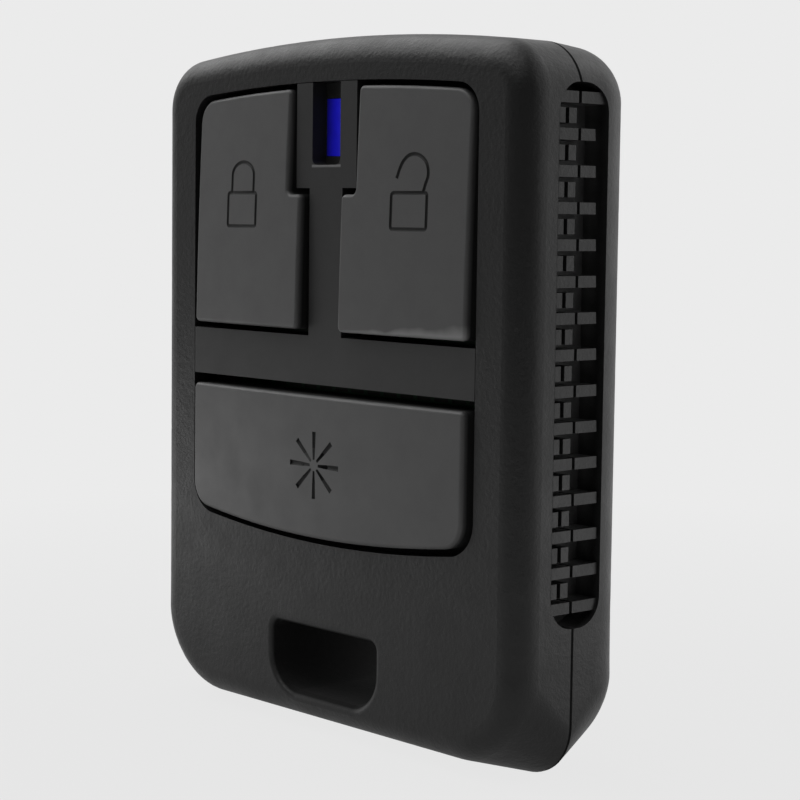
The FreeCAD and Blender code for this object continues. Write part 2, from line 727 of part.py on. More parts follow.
def dome(body):
    """Shape the front of a key to the one dome that all three keys share."""
    sketch = new_sketch(body, f"{body.Label}_dome", "XY_Plane", "dome_height")
    bow, reach = value("dome_across"), value(FAR)
    centre = bow - value("dome_rise")
    edge = centre - math.sqrt(bow * bow - reach * reach)
    ahead = -value(f"dome_rise * 4")
    half_angle = math.asin(reach / bow)
    circle = Part.Circle(FreeCAD.Vector(0, centre, 0), FreeCAD.Vector(0, 0, 1), bow)
    lowest = -math.pi / 2
    arc = sketch.addGeometry(Part.ArcOfCircle(circle, lowest - half_angle, lowest + half_angle), False)
    corners = [FreeCAD.Vector(reach, edge, 0), FreeCAD.Vector(reach, ahead, 0),
               FreeCAD.Vector(-reach, ahead, 0), FreeCAD.Vector(-reach, edge, 0)]
    for start, end in zip(corners, corners[1:]):
        sketch.addGeometry(Part.LineSegment(start, end), False)
    for index in range(3):
        sketch.addConstraint(Sketcher.Constraint("Coincident", arc + index, 2, arc + index + 1, 1))
    sketch.addConstraint(Sketcher.Constraint("Coincident", arc + 3, 2, arc, 1))
    bind(sketch, "Radius", arc, size="dome_across")
    sketch.addConstraint(Sketcher.Constraint("PointOnObject", arc, 3, -2))
    bind(sketch, "DistanceY", -1, 1, arc, 3, size="dome_across - dome_rise")
    for corner, across in ((2, FAR), (3, f"-{FAR}")):
        bind(sketch, "DistanceX", -1, 1, arc + corner, 1, size=across)
        bind(sketch, "DistanceY", -1, 1, arc + corner, 1, size="-4 * dome_rise")
    sketch.addConstraint(Sketcher.Constraint("Vertical", arc + 1))
    sketch.addConstraint(Sketcher.Constraint("Vertical", arc + 3))
    axis_height = value("dome_along - dome_rise")
    ends = FreeCAD.Vector(-reach, axis_height, 0), FreeCAD.Vector(reach, axis_height, 0)
    axis = sketch.addGeometry(Part.LineSegment(*ends), True)
    sketch.addConstraint(Sketcher.Constraint("Horizontal", axis))
    bind(sketch, "DistanceX", -1, 1, axis, 1, size=f"-{FAR}")
    bind(sketch, "DistanceX", -1, 1, axis, 2, size=FAR)
    bind(sketch, "DistanceY", -1, 1, axis, 1, size="dome_along - dome_rise")
    before = body.Shape.Volume
    groove = body.newObject("PartDesign::Groove", f"{body.Label}_dome_cut")
    groove.Profile = sketch
    groove.ReferenceAxis = (sketch, ["Axis0"])
    groove.Midplane = True
    groove.Angle = 10
    doc.recompute()
    if body.Shape.Volume >= before:
        raise RuntimeError(f"{groove.Name} removes nothing")


def soften(body):
    front_edges = edges_inside(body, *depth_slab("-dome_rise", "dome_rise"))
    round_edges(body, f"{body.Label}_soft_edges", front_edges, "key_edge")


def key_post(body, across, up):
    post = face_sketch(body, f"{body.Label}_post", "key_skin / 2")
    draw_circle(post, across, up, "post_radius")
    pad(body, post, f"{BUTTON_FRONT} - key_skin / 2")


def upper_key(name, side):
    body = new_body(name)
    key_blank(body)
    neighbours = face_sketch(body, f"{name}_neighbours", "-(dome_rise + key_edge)")
    beside_stem = f"{side} * ({STEM_HALF} + key_stem_gap)"
    beside_head = f"{side} * ({HEAD_HALF} + key_stem_gap)"
    notch = f"{STEM_STEP} - key_stem_gap"
    draw_polygon(neighbours, [(beside_stem, UPPER_KEY_BOTTOM), (beside_stem, notch), (beside_head, notch),
                              (beside_head, f"2 * {FAR}"), (f"{-side} * {FAR}", f"2 * {FAR}"),
                              (f"{-side} * {FAR}", f"-{FAR}"), (f"{side} * {FAR}", f"-{FAR}"),
                              (f"{side} * {FAR}", UPPER_KEY_BOTTOM)])
    pocket(body, neighbours, "dome_rise + key_edge + key_back")
    inner, outer = value(STEM_HALF), value(f"{HEAD_HALF} + key_stem_gap")
    far, half = value(FAR), value(KEY_HALF)
    low_x, high_x = sorted((side * inner, side * outer))
    corners = straight_back_edges(body, (low_x, -far, 0), (high_x, far, far * 2))
    foot = value(UPPER_KEY_BOTTOM)
    low_x, high_x = sorted((side * (half - 0.1), side * (half + 0.1)))
    corners += straight_back_edges(body, (low_x, -far, foot - 0.1), (high_x, far, foot + 0.1))
    round_edges(body, f"{name}_corners", corners, "key_corner")
    hollow = face_sketch(body, f"{name}_hollow", "key_skin")
    rim_low = f"{UPPER_KEY_BOTTOM} + key_rim"
    rim_top = f"{WINDOW_TOP} - window_top_corner - key_rim"
    rim_side = f"{side} * ({KEY_HALF} - key_rim)"
    rim_stem = f"{side} * ({STEM_HALF} + key_stem_gap + key_rim)"
    rim_head = f"{side} * ({HEAD_HALF} + key_stem_gap + key_rim)"
    rim_notch = f"{notch} - key_rim"
    draw_polygon(hollow, [(rim_side, rim_low), (rim_side, rim_top), (rim_head, rim_top),
                          (rim_head, rim_notch), (rim_stem, rim_notch), (rim_stem, rim_low)])
    pocket(body, hollow, "key_back - key_skin")
    rib = face_sketch(body, f"{name}_rib", "key_skin")
    draw_rectangle(rib, rim_stem, rim_side, f"{UPPER_SWITCH_Z} - 2 * rib_thickness",
                   f"{UPPER_SWITCH_Z} - rib_thickness")
    pad(body, rib, "(key_back - key_skin) / 2")
    key_post(body, f"{side} * {UPPER_SWITCH_X}", UPPER_SWITCH_Z)
    dome(body)
    soften(body)
    return body


lock_key = upper_key("lock_key", -1)
unlock_key = upper_key("unlock_key", 1)

star_key = new_body("star_key")
key_blank(star_key)
above = face_sketch(star_key, "star_key_neighbours", "-(dome_rise + key_edge)")
draw_rectangle(above, f"-{FAR}", FAR, STAR_KEY_TOP, f"2 * {FAR}")
pocket(star_key, above, "dome_rise + key_edge + key_back")
far, half, crest = value(FAR), value(KEY_HALF), value(STAR_KEY_TOP)
corners = []
for side in (1, -1):
    low_x, high_x = sorted((side * (half - 0.1), side * (half + 0.1)))
    corners += straight_back_edges(star_key, (low_x, -far, crest - 0.1), (high_x, far, crest + 0.1))
round_edges(star_key, "star_key_corners", corners, "key_corner")
hollow = face_sketch(star_key, "star_key_hollow", "key_skin")
draw_panel(hollow, f"{KEY_HALF} - key_rim", f"{KEY_BOTTOM} + key_rim", f"{STAR_KEY_TOP} - key_rim",
           "window_bottom_corner - key_side_gap - key_rim", "key_corner",
           bottom_crown="window_bottom_crown - key_bottom_gap - key_rim")
pocket(star_key, hollow, "key_back - key_skin")
rib = face_sketch(star_key, "star_key_rib", "key_skin")
draw_rectangle(rib, f"-({KEY_HALF} - key_rim)", f"{KEY_HALF} - key_rim",
               "dome_height - rib_thickness / 2", "dome_height + rib_thickness / 2")
pad(star_key, rib, "(key_back - key_skin) / 2")
key_post(star_key, "0", "dome_height")
dome(star_key)
soften(star_key)

# Light guide and status lamp

light_guide = new_body("light_guide")
window_bar = face_sketch(light_guide, "guide_bar", "led_slot_depth")
draw_rectangle(window_bar, "-guide_width / 2", "guide_width / 2",
               GUIDE_BOTTOM, f"{GUIDE_BOTTOM} + guide_height")
pad(light_guide, window_bar, "guide_back - led_slot_depth")
collar = face_sketch(light_guide, "guide_collar", "divider_depth")
draw_rectangle(collar, "-(guide_width / 2 + guide_flange)", "guide_width / 2 + guide_flange",
               f"{GUIDE_BOTTOM} - guide_flange", f"{GUIDE_BOTTOM} + guide_height + guide_flange")
pad(light_guide, collar, "guide_flange")

GUIDE_MIDDLE = f"({GUIDE_BOTTOM} + guide_height / 2)"
status_led = new_body("status_led")
lamp_base = face_sketch(status_led, "lamp_base", "board_front - lamp_thickness / 2")
draw_rectangle(lamp_base, "-lamp_width / 2", "lamp_width / 2",
               f"{GUIDE_MIDDLE} - lamp_height / 2", f"{GUIDE_MIDDLE} + lamp_height / 2")
pad(status_led, lamp_base, "lamp_thickness / 2")
lamp_lens = face_sketch(status_led, "lamp_lens", "board_front - lamp_thickness")
draw_circle(lamp_lens, "0", GUIDE_MIDDLE, "lamp_width / 2 - solder_gap")
pad(status_led, lamp_lens, "lamp_thickness / 2")

# Circuit board

circuit_board = new_body("circuit_board")
board_outline = face_sketch(circuit_board, "board_outline", "board_front")
draw_panel(board_outline, BOARD_HALF, "board_bottom", BOARD_TOP, "board_corner", "board_corner")
pad(circuit_board, board_outline, "board_thickness")

# Switches and their plungers


def switch(name, across, up):
    base = new_body(f"{name}_switch")
    case = face_sketch(base, f"{name}_switch_case", SWITCH_FRONT)
    draw_rectangle(case, f"{across} - switch_width / 2", f"{across} + switch_width / 2",
                   f"{up} - switch_width / 2", f"{up} + switch_width / 2")
    pad(base, case, "switch_height + switch_cover")
    leads = face_sketch(base, f"{name}_switch_leads", "board_front - switch_cover")
    for side in (1, -1):
        for level in (1, -1):
            draw_rectangle(leads, f"{across} + {side} * (switch_width / 2 - switch_lead)",
                           f"{across} + {side} * (switch_width / 2 + switch_lead)",
                           f"{up} + {level} * (switch_width - switch_lead) / 2",
                           f"{up} + {level} * (switch_width - 3 * switch_lead) / 2")
    pad(base, leads, "switch_cover")
    well = face_sketch(base, f"{name}_switch_well", SWITCH_FRONT)
    draw_circle(well, across, up, "button_radius + button_clearance")
    pocket(base, well, "switch_height - switch_cover")
    button = new_body(f"{name}_switch_button")
    plunger = face_sketch(button, f"{name}_plunger", BUTTON_FRONT)
    draw_circle(plunger, across, up, "button_radius")
    pad(button, plunger, "button_length")
    front_rim = edges_inside(button, *depth_slab(BUTTON_FRONT, BUTTON_FRONT))
    round_edges(button, f"{name}_plunger_bevel", front_rim, "parting_bevel", "PartDesign::Chamfer")


switch("lock", f"-{UPPER_SWITCH_X}", UPPER_SWITCH_Z)
switch("unlock", UPPER_SWITCH_X, UPPER_SWITCH_Z)
switch("star", "0", "dome_height")

# Code chip on the front of the board, with its two rows of leads

code_chip = new_body("code_chip")
CHIP_Z = f"({BAR_TOP} + chip_rise)"
package = face_sketch(code_chip, "chip_package", "board_front - chip_thickness")
draw_rectangle(package, "-chip_width / 2", "chip_width / 2",
               f"{CHIP_Z} - chip_length / 2", f"{CHIP_Z} + chip_length / 2")
pad(code_chip, package, "chip_thickness - solder_gap")
leads = face_sketch(code_chip, "chip_leads", "board_front - chip_lead_thickness")
for side in (1, -1):
    for row in (-1.5, -0.5, 0.5, 1.5):
        draw_rectangle(leads, f"{side} * (chip_width / 2 - chip_lead_thickness)",
                       f"{side} * (chip_width / 2 + chip_lead_reach)",
                       f"{CHIP_Z} + {row} * chip_lead_pitch - chip_lead_width / 2",
                       f"{CHIP_Z} + {row} * chip_lead_pitch + chip_lead_width / 2")
pad(code_chip, leads, "chip_lead_thickness")

# Radio parts on the back of the board

RESONATOR_X = f"(resonator_inset - {BOARD_HALF})"
RADIO_Z = "(board_bottom + resonator_radius + resonator_rise)"
saw_resonator = new_body("saw_resonator")
can_rim = face_sketch(saw_resonator, "can_rim", BOARD_BACK)
draw_circle(can_rim, RESONATOR_X, RADIO_Z, "resonator_radius")
pad(saw_resonator, can_rim, "resonator_rim_height")
can = face_sketch(saw_resonator, "can", BOARD_BACK)
draw_circle(can, RESONATOR_X, RADIO_Z, "resonator_radius - resonator_rim")
pad(saw_resonator, can, "resonator_height")
can_top = edges_at(saw_resonator, f"{BOARD_BACK} + resonator_height")
round_edges(saw_resonator, "can_rounding", can_top, "resonator_rim")

rf_transistor = new_body("rf_transistor")
package = face_sketch(rf_transistor, "transistor_package", BOARD_BACK)
draw_rectangle(package, "transistor_x - transistor_length / 2", "transistor_x + transistor_length / 2",
               f"{RADIO_Z} - transistor_width / 2", f"{RADIO_Z} + transistor_width / 2")
pad(rf_transistor, package, "transistor_height")
leads = face_sketch(rf_transistor, "transistor_leads", BOARD_BACK)
for place, way in ((-0.95, -1), (0.95, -1), (0, 1)):
    draw_rectangle(leads, f"transistor_x + {place} - chip_lead_width / 2",
                   f"transistor_x + {place} + chip_lead_width / 2",
                   f"{RADIO_Z} + {way} * (transistor_width / 2 - chip_lead_thickness)",
                   f"{RADIO_Z} + {way} * (transistor_width / 2 + chip_lead_reach / 2)")
pad(rf_transistor, leads, "chip_lead_thickness")

trimmer_capacitor = new_body("trimmer_capacitor")
drum = face_sketch(trimmer_capacitor, "trimmer_drum", BOARD_BACK)
draw_circle(drum, "trimmer_x", RADIO_Z, "trimmer_radius")
pad(trimmer_capacitor, drum, "trimmer_height")
drive = face_sketch(trimmer_capacitor, "trimmer_slot", f"{BOARD_BACK} + trimmer_height - trimmer_slot")
draw_rectangle(drive, "trimmer_x - trimmer_radius / 2", "trimmer_x + trimmer_radius / 2",
               f"{RADIO_Z} - trimmer_slot / 2", f"{RADIO_Z} + trimmer_slot / 2")
pocket(trimmer_capacitor, drive, "trimmer_slot")


def chip_row(name, height, up):
    """Four equal small parts side by side on the back of the board."""
    body = new_body(name)
    body.AllowCompound = True
    row = face_sketch(body, f"{name}_row", BOARD_BACK)
    for place in range(4):
        centre = f"{BOARD_HALF} - small_part_inset + {place} * small_part_pitch"
        draw_rectangle(row, f"{centre} - small_part_width / 2", f"{centre} + small_part_width / 2",
                       f"{up} - small_part_length / 2", f"{up} + small_part_length / 2")
    pad(body, row, height)


chip_row("chip_capacitors", "capacitor_height", "board_bottom + small_part_rise")
chip_row("chip_resistors", "resistor_height", "board_bottom + 2 * small_part_rise")

antenna_loop = new_body("antenna_loop")
loop = face_sketch(antenna_loop, "antenna_path", BOARD_BACK)
ANTENNA_HALF = f"({BOARD_HALF} - antenna_inset)"
ANTENNA_BOTTOM = f"({CELL_Z} + cell_radius + antenna_gap)"
ANTENNA_TOP = f"({BOARD_TOP} - antenna_head)"
draw_panel(loop, ANTENNA_HALF, ANTENNA_BOTTOM, ANTENNA_TOP, "antenna_bend", "antenna_bend")
draw_panel(loop, f"{ANTENNA_HALF} - antenna_wire", f"{ANTENNA_BOTTOM} + antenna_wire",
           f"{ANTENNA_TOP} - antenna_wire", "antenna_bend - antenna_wire", "antenna_bend - antenna_wire")
pad(antenna_loop, loop, "antenna_wire")
feed = face_sketch(antenna_loop, "antenna_feed", BOARD_BACK)
draw_rectangle(feed, "-antenna_bend", "antenna_bend",
               f"{ANTENNA_BOTTOM} - antenna_wire", f"{ANTENNA_BOTTOM} + antenna_bend")
pocket(antenna_loop, feed, "antenna_wire")

# Coin cell between its two contacts

battery_contact = new_body("battery_contact")
strip = face_sketch(battery_contact, "contact_strip", BOARD_BACK)
draw_panel(strip, "contact_length / 2", f"{CELL_Z} - contact_width / 2", f"{CELL_Z} + contact_width / 2",
           "contact_width / 4", "contact_width / 4")
pad(battery_contact, strip, "contact_thickness")

battery = new_body("battery")
cell = face_sketch(battery, "cell", CELL_FRONT)
draw_circle(cell, "0", CELL_Z, "cell_radius")
pad(battery, cell, "cell_thickness")
rims = edges_at(battery, f"{CELL_FRONT} + cell_thickness")
round_edges(battery, "cell_rounding", rims, "cell_edge")
crimp = face_sketch(battery, "crimp", CELL_FRONT)
draw_circle(crimp, "0", CELL_Z, "cell_radius + cell_edge")
draw_circle(crimp, "0", CELL_Z, "cell_radius - cell_edge")
pocket(battery, crimp, "cell_edge")

battery_clip = new_body("battery_clip")
bridge = new_sketch(battery_clip, "clip_bridge", "XY_Plane", f"{CELL_Z} - clip_width / 2")
CLIP_INSIDE = "(cell_radius + clip_gap)"
CLIP_OUTSIDE = "(cell_radius + clip_gap + clip_thickness)"
CLIP_END = "(cell_radius + clip_gap + clip_foot)"
CELL_BACK = f"({CELL_FRONT} + cell_thickness)"
CLIP_BACK = f"({CELL_FRONT} + cell_thickness + clip_thickness)"
FOOT_BACK = f"({BOARD_BACK} + clip_thickness)"
draw_polygon(bridge, mirrored([(CLIP_INSIDE, CELL_BACK), (CLIP_INSIDE, BOARD_BACK), (CLIP_END, BOARD_BACK),
                               (CLIP_END, FOOT_BACK), (CLIP_OUTSIDE, FOOT_BACK), (CLIP_OUTSIDE, CLIP_BACK)]))
pad(battery_clip, bridge, "clip_width", forwards=True)

# Two screws from the back

case_screws = new_body("case_screws")
case_screws.AllowCompound = True
HEAD_SEAT = "(case_depth - head_sink)"
shanks = face_sketch(case_screws, "screw_shanks", "front_depth - screw_bite + shank_clearance")
heads = face_sketch(case_screws, "screw_heads", HEAD_SEAT)
drives = face_sketch(case_screws, "screw_drives", f"{HEAD_SEAT} + head_height - drive_depth")
for side in (1, -1):
    draw_circle(shanks, f"{side} * {SCREW_X}", "screw_z", "screw_radius")
    draw_circle(heads, f"{side} * {SCREW_X}", "screw_z", "head_radius")
    middle = f"{side} * {SCREW_X}"
    arm, half_arm = "drive_length / 2", "drive_width / 2"
    cross = mirrored([(half_arm, f"-{arm}"), (half_arm, f"-{half_arm}"), (arm, f"-{half_arm}"),
                      (arm, half_arm), (half_arm, half_arm), (half_arm, arm)])
    draw_polygon(drives, [(f"{middle} + {across}", f"screw_z + {up}") for across, up in cross])
pad(case_screws, shanks, f"{HEAD_SEAT} - front_depth + screw_bite - shank_clearance")
pad(case_screws, heads, "head_height")
head_rims = edges_at(case_screws, f"{HEAD_SEAT} + head_height")
round_edges(case_screws, "head_rounding", head_rims, "drive_width")
pocket(case_screws, drives, "drive_depth")

# Check every step, then write each piece

doc.recompute()
for item in doc.Objects:
    if "Invalid" in item.State or "Error" in item.State:
        raise RuntimeError(f"{item.Name} did not build: {item.State}")
for body in doc.findObjects("PartDesign::Body"):
    if body.Shape.isNull() or not body.Shape.isValid():
        raise RuntimeError(f"{body.Label} is not a sound solid")
    body.Shape.exportStep(f"parts/{body.Label}.step")
    print(body.Label, len(body.Shape.Solids), round(body.Shape.Volume, 1))
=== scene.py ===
# %% [markdown]
# # A car alarm remote in moulded plastic
#
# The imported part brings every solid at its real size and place. This lesson gives each
# solid the finish of the real material, cuts the three signs into the keys, and sets the
# camera and the lights of a plain product picture. Lengths are metres, the keys face -Y
# and +Z points to the lamp end.

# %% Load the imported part
import math

import bmesh
import bpy
from mathutils import Matrix, Vector


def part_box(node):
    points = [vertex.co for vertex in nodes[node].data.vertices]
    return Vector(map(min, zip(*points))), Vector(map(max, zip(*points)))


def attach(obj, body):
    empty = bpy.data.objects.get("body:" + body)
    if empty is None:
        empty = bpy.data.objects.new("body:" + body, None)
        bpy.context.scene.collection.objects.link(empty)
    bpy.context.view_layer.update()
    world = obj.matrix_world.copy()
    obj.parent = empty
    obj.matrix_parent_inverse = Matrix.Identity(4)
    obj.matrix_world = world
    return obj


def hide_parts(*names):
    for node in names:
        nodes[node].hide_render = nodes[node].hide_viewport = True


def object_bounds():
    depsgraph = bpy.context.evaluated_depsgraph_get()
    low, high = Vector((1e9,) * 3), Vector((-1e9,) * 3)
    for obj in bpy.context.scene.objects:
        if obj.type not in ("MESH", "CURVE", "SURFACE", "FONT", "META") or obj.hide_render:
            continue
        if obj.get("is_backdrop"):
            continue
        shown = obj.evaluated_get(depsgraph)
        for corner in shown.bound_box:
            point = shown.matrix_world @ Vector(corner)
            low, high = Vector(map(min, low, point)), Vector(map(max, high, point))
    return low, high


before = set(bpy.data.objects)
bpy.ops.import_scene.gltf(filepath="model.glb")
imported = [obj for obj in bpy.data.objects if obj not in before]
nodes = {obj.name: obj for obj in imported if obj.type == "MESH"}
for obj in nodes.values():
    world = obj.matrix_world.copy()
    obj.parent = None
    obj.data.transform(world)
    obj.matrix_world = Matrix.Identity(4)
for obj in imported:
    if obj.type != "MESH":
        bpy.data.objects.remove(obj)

MM = 0.001
cad_low, cad_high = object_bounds()
print("nodes:", len(nodes), "box in mm:", [round(v / MM, 2) for v in (*cad_low, *cad_high)])

# %% [markdown]
# ## The camera
#
# The picture is taken from the right, a little above the middle, with a long lens. Aiming a
# camera by three angles and a distance keeps each of them readable, and the same numbers
# would set up a real tripod. Depth of field stays off, so every edge is sharp.

# %% Aim the camera
TURN = math.radians(48.23)
LIFT = math.radians(5.02)
TILT = math.radians(0.71)
DISTANCE = 158.05 * MM
TARGET = Vector((10.49, -6.87, 27.89)) * MM
LENS = 95.12
CLIP_NEAR, CLIP_FAR = 10 * MM, 20.0

away = Vector((math.sin(TURN) * math.cos(LIFT), -math.cos(TURN) * math.cos(LIFT), math.sin(LIFT)))
level = Vector((math.cos(TURN), math.sin(TURN), 0))
upright = away.cross(level)
across = level * math.cos(TILT) + upright * math.sin(TILT)
upwards = upright * math.cos(TILT) - level * math.sin(TILT)

camera = bpy.data.objects.new("camera", bpy.data.cameras.new("camera"))
camera.data.lens = LENS
camera.data.clip_start = CLIP_NEAR
camera.data.clip_end = CLIP_FAR
place = Matrix((across, upwards, away)).transposed().to_4x4()
place.translation = TARGET + away * DISTANCE
camera.matrix_world = place
bpy.context.scene.collection.objects.link(camera)
bpy.context.scene.camera = camera
print("camera at mm:", [round(v / MM, 1) for v in place.translation])

# %% [markdown]
# ## Colours and nodes
#
# Colours are written as the hex values that a designer reads off a swatch. A shader counts
# light, so one function turns them linear. Another adds a node to a shader or geometry tree
# with its settings and links in one go, and hands back one output, so that the materials
# below read as short recipes.

# %% Helpers for colours and nodes
def linear(hex_colour):
    """An sRGB hex colour as the linear RGBA that a shader reads."""
    channels = [int(hex_colour[i:i + 2], 16) / 255 for i in (1, 3, 5)]
    return [c / 12.92 if c <= 0.04045 else ((c + 0.055) / 1.055) ** 2.4 for c in channels] + [1.0]


def add(tree, kind, inputs=None, output=None, **settings):
    """Add a node with its settings, fill or link its inputs by name or number, and give one output."""
    node = tree.nodes.new(kind)
    for name, value in settings.items():
        setattr(node, name, value)
    live = [socket for socket in node.inputs if socket.enabled]
    for key, value in (inputs or {}).items():
        socket = live[key] if isinstance(key, int) else next(s for s in live if s.name == key)
        if isinstance(value, bpy.types.NodeSocket):
            tree.links.new(value, socket)
        else:
            socket.default_value = value
    return next((s for s in node.outputs if s.enabled and output in (None, s.name)), None)


def new_material(name):
    """An empty node material, its tree and its object coordinates."""
    material = bpy.data.materials.new(name)
    material.use_nodes = True
    material.node_tree.nodes.clear()
    return material, material.node_tree, add(material.node_tree, "ShaderNodeTexCoord", output="Object")


# %% [markdown]
# ## Painted shade in recesses, and dust
#
# Some places are painted darker and duller, as painted shade where little light gets in: the gap round
# each key, the walls of the strap opening, the seam between the shells and the foot of the combs in the side
# grips.
# Dust greys the floor of the grips. Painting this would need a picture, so each place is
# worked out from its distance to the shape instead, as a factor from 0 to 1.
#
# The gaps come first. The keys share one dome, curved across and along, so a point that lies
# well behind that dome lies in a gap.

# %% Painted shade in the gaps of the keys
DOME_ACROSS, DOME_ALONG = 320 * MM, 600 * MM
DOME_HEIGHT, DOME_FRONT = 21.9 * MM, -6.55 * MM
GAP_UNSHADED, GAP_SHADED = 0.22 * MM, 0.62 * MM


def gap_shade(tree, place):
    """Painted shade in the gaps of the keys, from the depth behind their common dome."""
    offset = add(tree, "ShaderNodeVectorMath", {0: place, 1: (0, 0, DOME_HEIGHT)},
                 operation="SUBTRACT")
    square = add(tree, "ShaderNodeVectorMath", {0: offset, 1: offset}, operation="MULTIPLY")
    bend = add(tree, "ShaderNodeVectorMath", {0: square, 1: (0.5 / DOME_ACROSS, 0, 0.5 / DOME_ALONG)},
               "Value", operation="DOT_PRODUCT")
    back = add(tree, "ShaderNodeSeparateXYZ", {0: place}, "Y")
    behind = add(tree, "ShaderNodeMath", {0: back, 1: bend}, operation="SUBTRACT")
    return add(tree, "ShaderNodeMapRange", {"Value": behind, "From Min": DOME_FRONT + GAP_UNSHADED,
                                            "From Max": DOME_FRONT + GAP_SHADED})


print("dirt in the gaps from mm:", round(GAP_UNSHADED / MM, 2), "behind the dome")

# %% [markdown]
# The strap opening is wider than it is high. Dividing a place by the opening's half sizes makes
# it a square, and the larger of the two shares tells how far out the place is. Its depth
# isn't divided, and keeps the painted shade off the front face.

# %% Painted shade on the walls of the strap opening
OPENING_MIDDLE = (0, 0, 5.8 * MM)
OPENING_HALF = (6.3 * MM, 1.0, 2.75 * MM)
OPENING_SHARE = {"unmarked": 1.24, "in_shade": 1.20}
OPENING_DEPTH = {"unmarked": -5.47 * MM, "in_shade": -5.27 * MM}


def opening_shade(tree, place):
    """Painted shade on the walls of the strap opening, from its rounded rim inwards."""
    offset = add(tree, "ShaderNodeVectorMath", {0: place, 1: OPENING_MIDDLE}, operation="SUBTRACT")
    share = add(tree, "ShaderNodeVectorMath", {0: offset, 1: OPENING_HALF}, operation="DIVIDE")
    share = add(tree, "ShaderNodeVectorMath", {0: share}, operation="ABSOLUTE")
    sideways, up = (add(tree, "ShaderNodeSeparateXYZ", {0: share}, axis) for axis in "XZ")
    edge = add(tree, "ShaderNodeMath", {0: sideways, 1: up}, operation="MAXIMUM")
    inside = add(tree, "ShaderNodeMapRange", {"Value": edge, "From Min": OPENING_SHARE["unmarked"],
                                              "From Max": OPENING_SHARE["in_shade"]})
    back = add(tree, "ShaderNodeSeparateXYZ", {0: place}, "Y")
    depth = add(tree, "ShaderNodeMapRange", {"Value": back, "From Min": OPENING_DEPTH["unmarked"],
                                             "From Max": OPENING_DEPTH["in_shade"]})
    return add(tree, "ShaderNodeMath", {0: inside, 1: depth}, operation="MULTIPLY")


print("dirty opening in half mm:", [round(half / MM * OPENING_SHARE["in_shade"], 2) for half in OPENING_HALF[::2]])

# %% [markdown]
# The seam lies in one plane, so its painted shade is a thin band on both sides of that plane. In a side
# grip, fins and studs stand on the floor of a long slot. The line where they meet the front of
# the slot gets painted shade, and the floor holds dust, which is paler than clean black plastic.

# %% Painted shade at the seam and at the combs, and dust in the side grips
SEAM = {"back": 0.05 * MM, "unmarked": 0.15 * MM, "in_shade": 0.10 * MM, "most": 0.9}
GRIP = {"middle": (0, 0.3 * MM, 31.4 * MM), "half_width": 2.6 * MM, "half_length": 20.0 * MM,
        "unmarked": 21.3 * MM, "dusty": 20.3 * MM}
GRIP_EDGE = {"middle": (0, -2.19 * MM, 31.4 * MM), "half_length": 18.0 * MM, "unmarked": 0.13 * MM,
             "in_shade": 0.07 * MM, "most": 0.85}


def seam_shade(tree, place):
    """A dark line of painted shade along the seam between the shells."""
    back = add(tree, "ShaderNodeSeparateXYZ", {0: place}, "Y")
    beside = add(tree, "ShaderNodeMath", {0: back, 1: SEAM["back"]}, operation="SUBTRACT")
    beside = add(tree, "ShaderNodeMath", {0: beside}, operation="ABSOLUTE")
    return add(tree, "ShaderNodeMapRange", {"Value": beside, "From Min": SEAM["unmarked"],
                                            "From Max": SEAM["in_shade"], "To Max": SEAM["most"]})


def grip_dust(tree, place):
    """Dust on the floor of the side grips, from a little under the tops of the fins."""
    offset = add(tree, "ShaderNodeVectorMath", {0: place, 1: GRIP["middle"]}, operation="SUBTRACT")
    offset = add(tree, "ShaderNodeVectorMath", {0: offset}, operation="ABSOLUTE")
    across, back, up = (add(tree, "ShaderNodeSeparateXYZ", {0: offset}, axis) for axis in "XYZ")
    within = add(tree, "ShaderNodeMath", {0: back, 1: GRIP["half_width"]}, operation="LESS_THAN")
    beside = add(tree, "ShaderNodeMath", {0: up, 1: GRIP["half_length"]}, operation="LESS_THAN")
    deep = add(tree, "ShaderNodeMapRange", {"Value": across, "From Min": GRIP["unmarked"],
                                            "From Max": GRIP["dusty"]})
    both = add(tree, "ShaderNodeMath", {0: within, 1: beside}, operation="MULTIPLY")
    return add(tree, "ShaderNodeMath", {0: both, 1: deep}, operation="MULTIPLY")


def grip_edge_shade(tree, place):
    """A dark line of painted shade where the combs of the side grips meet the case."""
    offset = add(tree, "ShaderNodeVectorMath", {0: place, 1: GRIP_EDGE["middle"]}, operation="SUBTRACT")
    offset = add(tree, "ShaderNodeVectorMath", {0: offset}, operation="ABSOLUTE")
    back, up = (add(tree, "ShaderNodeSeparateXYZ", {0: offset}, axis) for axis in "YZ")
    line = add(tree, "ShaderNodeMapRange", {"Value": back, "From Min": GRIP_EDGE["unmarked"],
                                            "From Max": GRIP_EDGE["in_shade"], "To Max": GRIP_EDGE["most"]})
    beside = add(tree, "ShaderNodeMath", {0: up, 1: GRIP_EDGE["half_length"]}, operation="LESS_THAN")
    return add(tree, "ShaderNodeMath", {0: line, 1: beside}, operation="MULTIPLY")


print("seam line in mm:", round(2 * SEAM["unmarked"] / MM, 2))

# %% [markdown]
# ## Painted highlights on two lips
#
# Two edges get a painted highlight, a paler colour for the light that their rounded lips catch:
# the lower lip of the upper right key and the lip under the lamp's slot. The first is ragged and
# grows taller to the right, so noise multiplies its height. The second is an even line.

# %% Painted highlights on two lips
KEY_LIP = {"left": 2.5 * MM, "right": 16.5 * MM, "low": 32.55 * MM, "least": 0.35 * MM, "most": 2.2 * MM,
           "under": -0.1 * MM, "ragged": 3 * MM, "highlit": 0.3}
SLOT_LIP = {"half": 1.75 * MM, "low": 45.28 * MM, "highlit": 45.38 * MM, "high": 45.52 * MM}


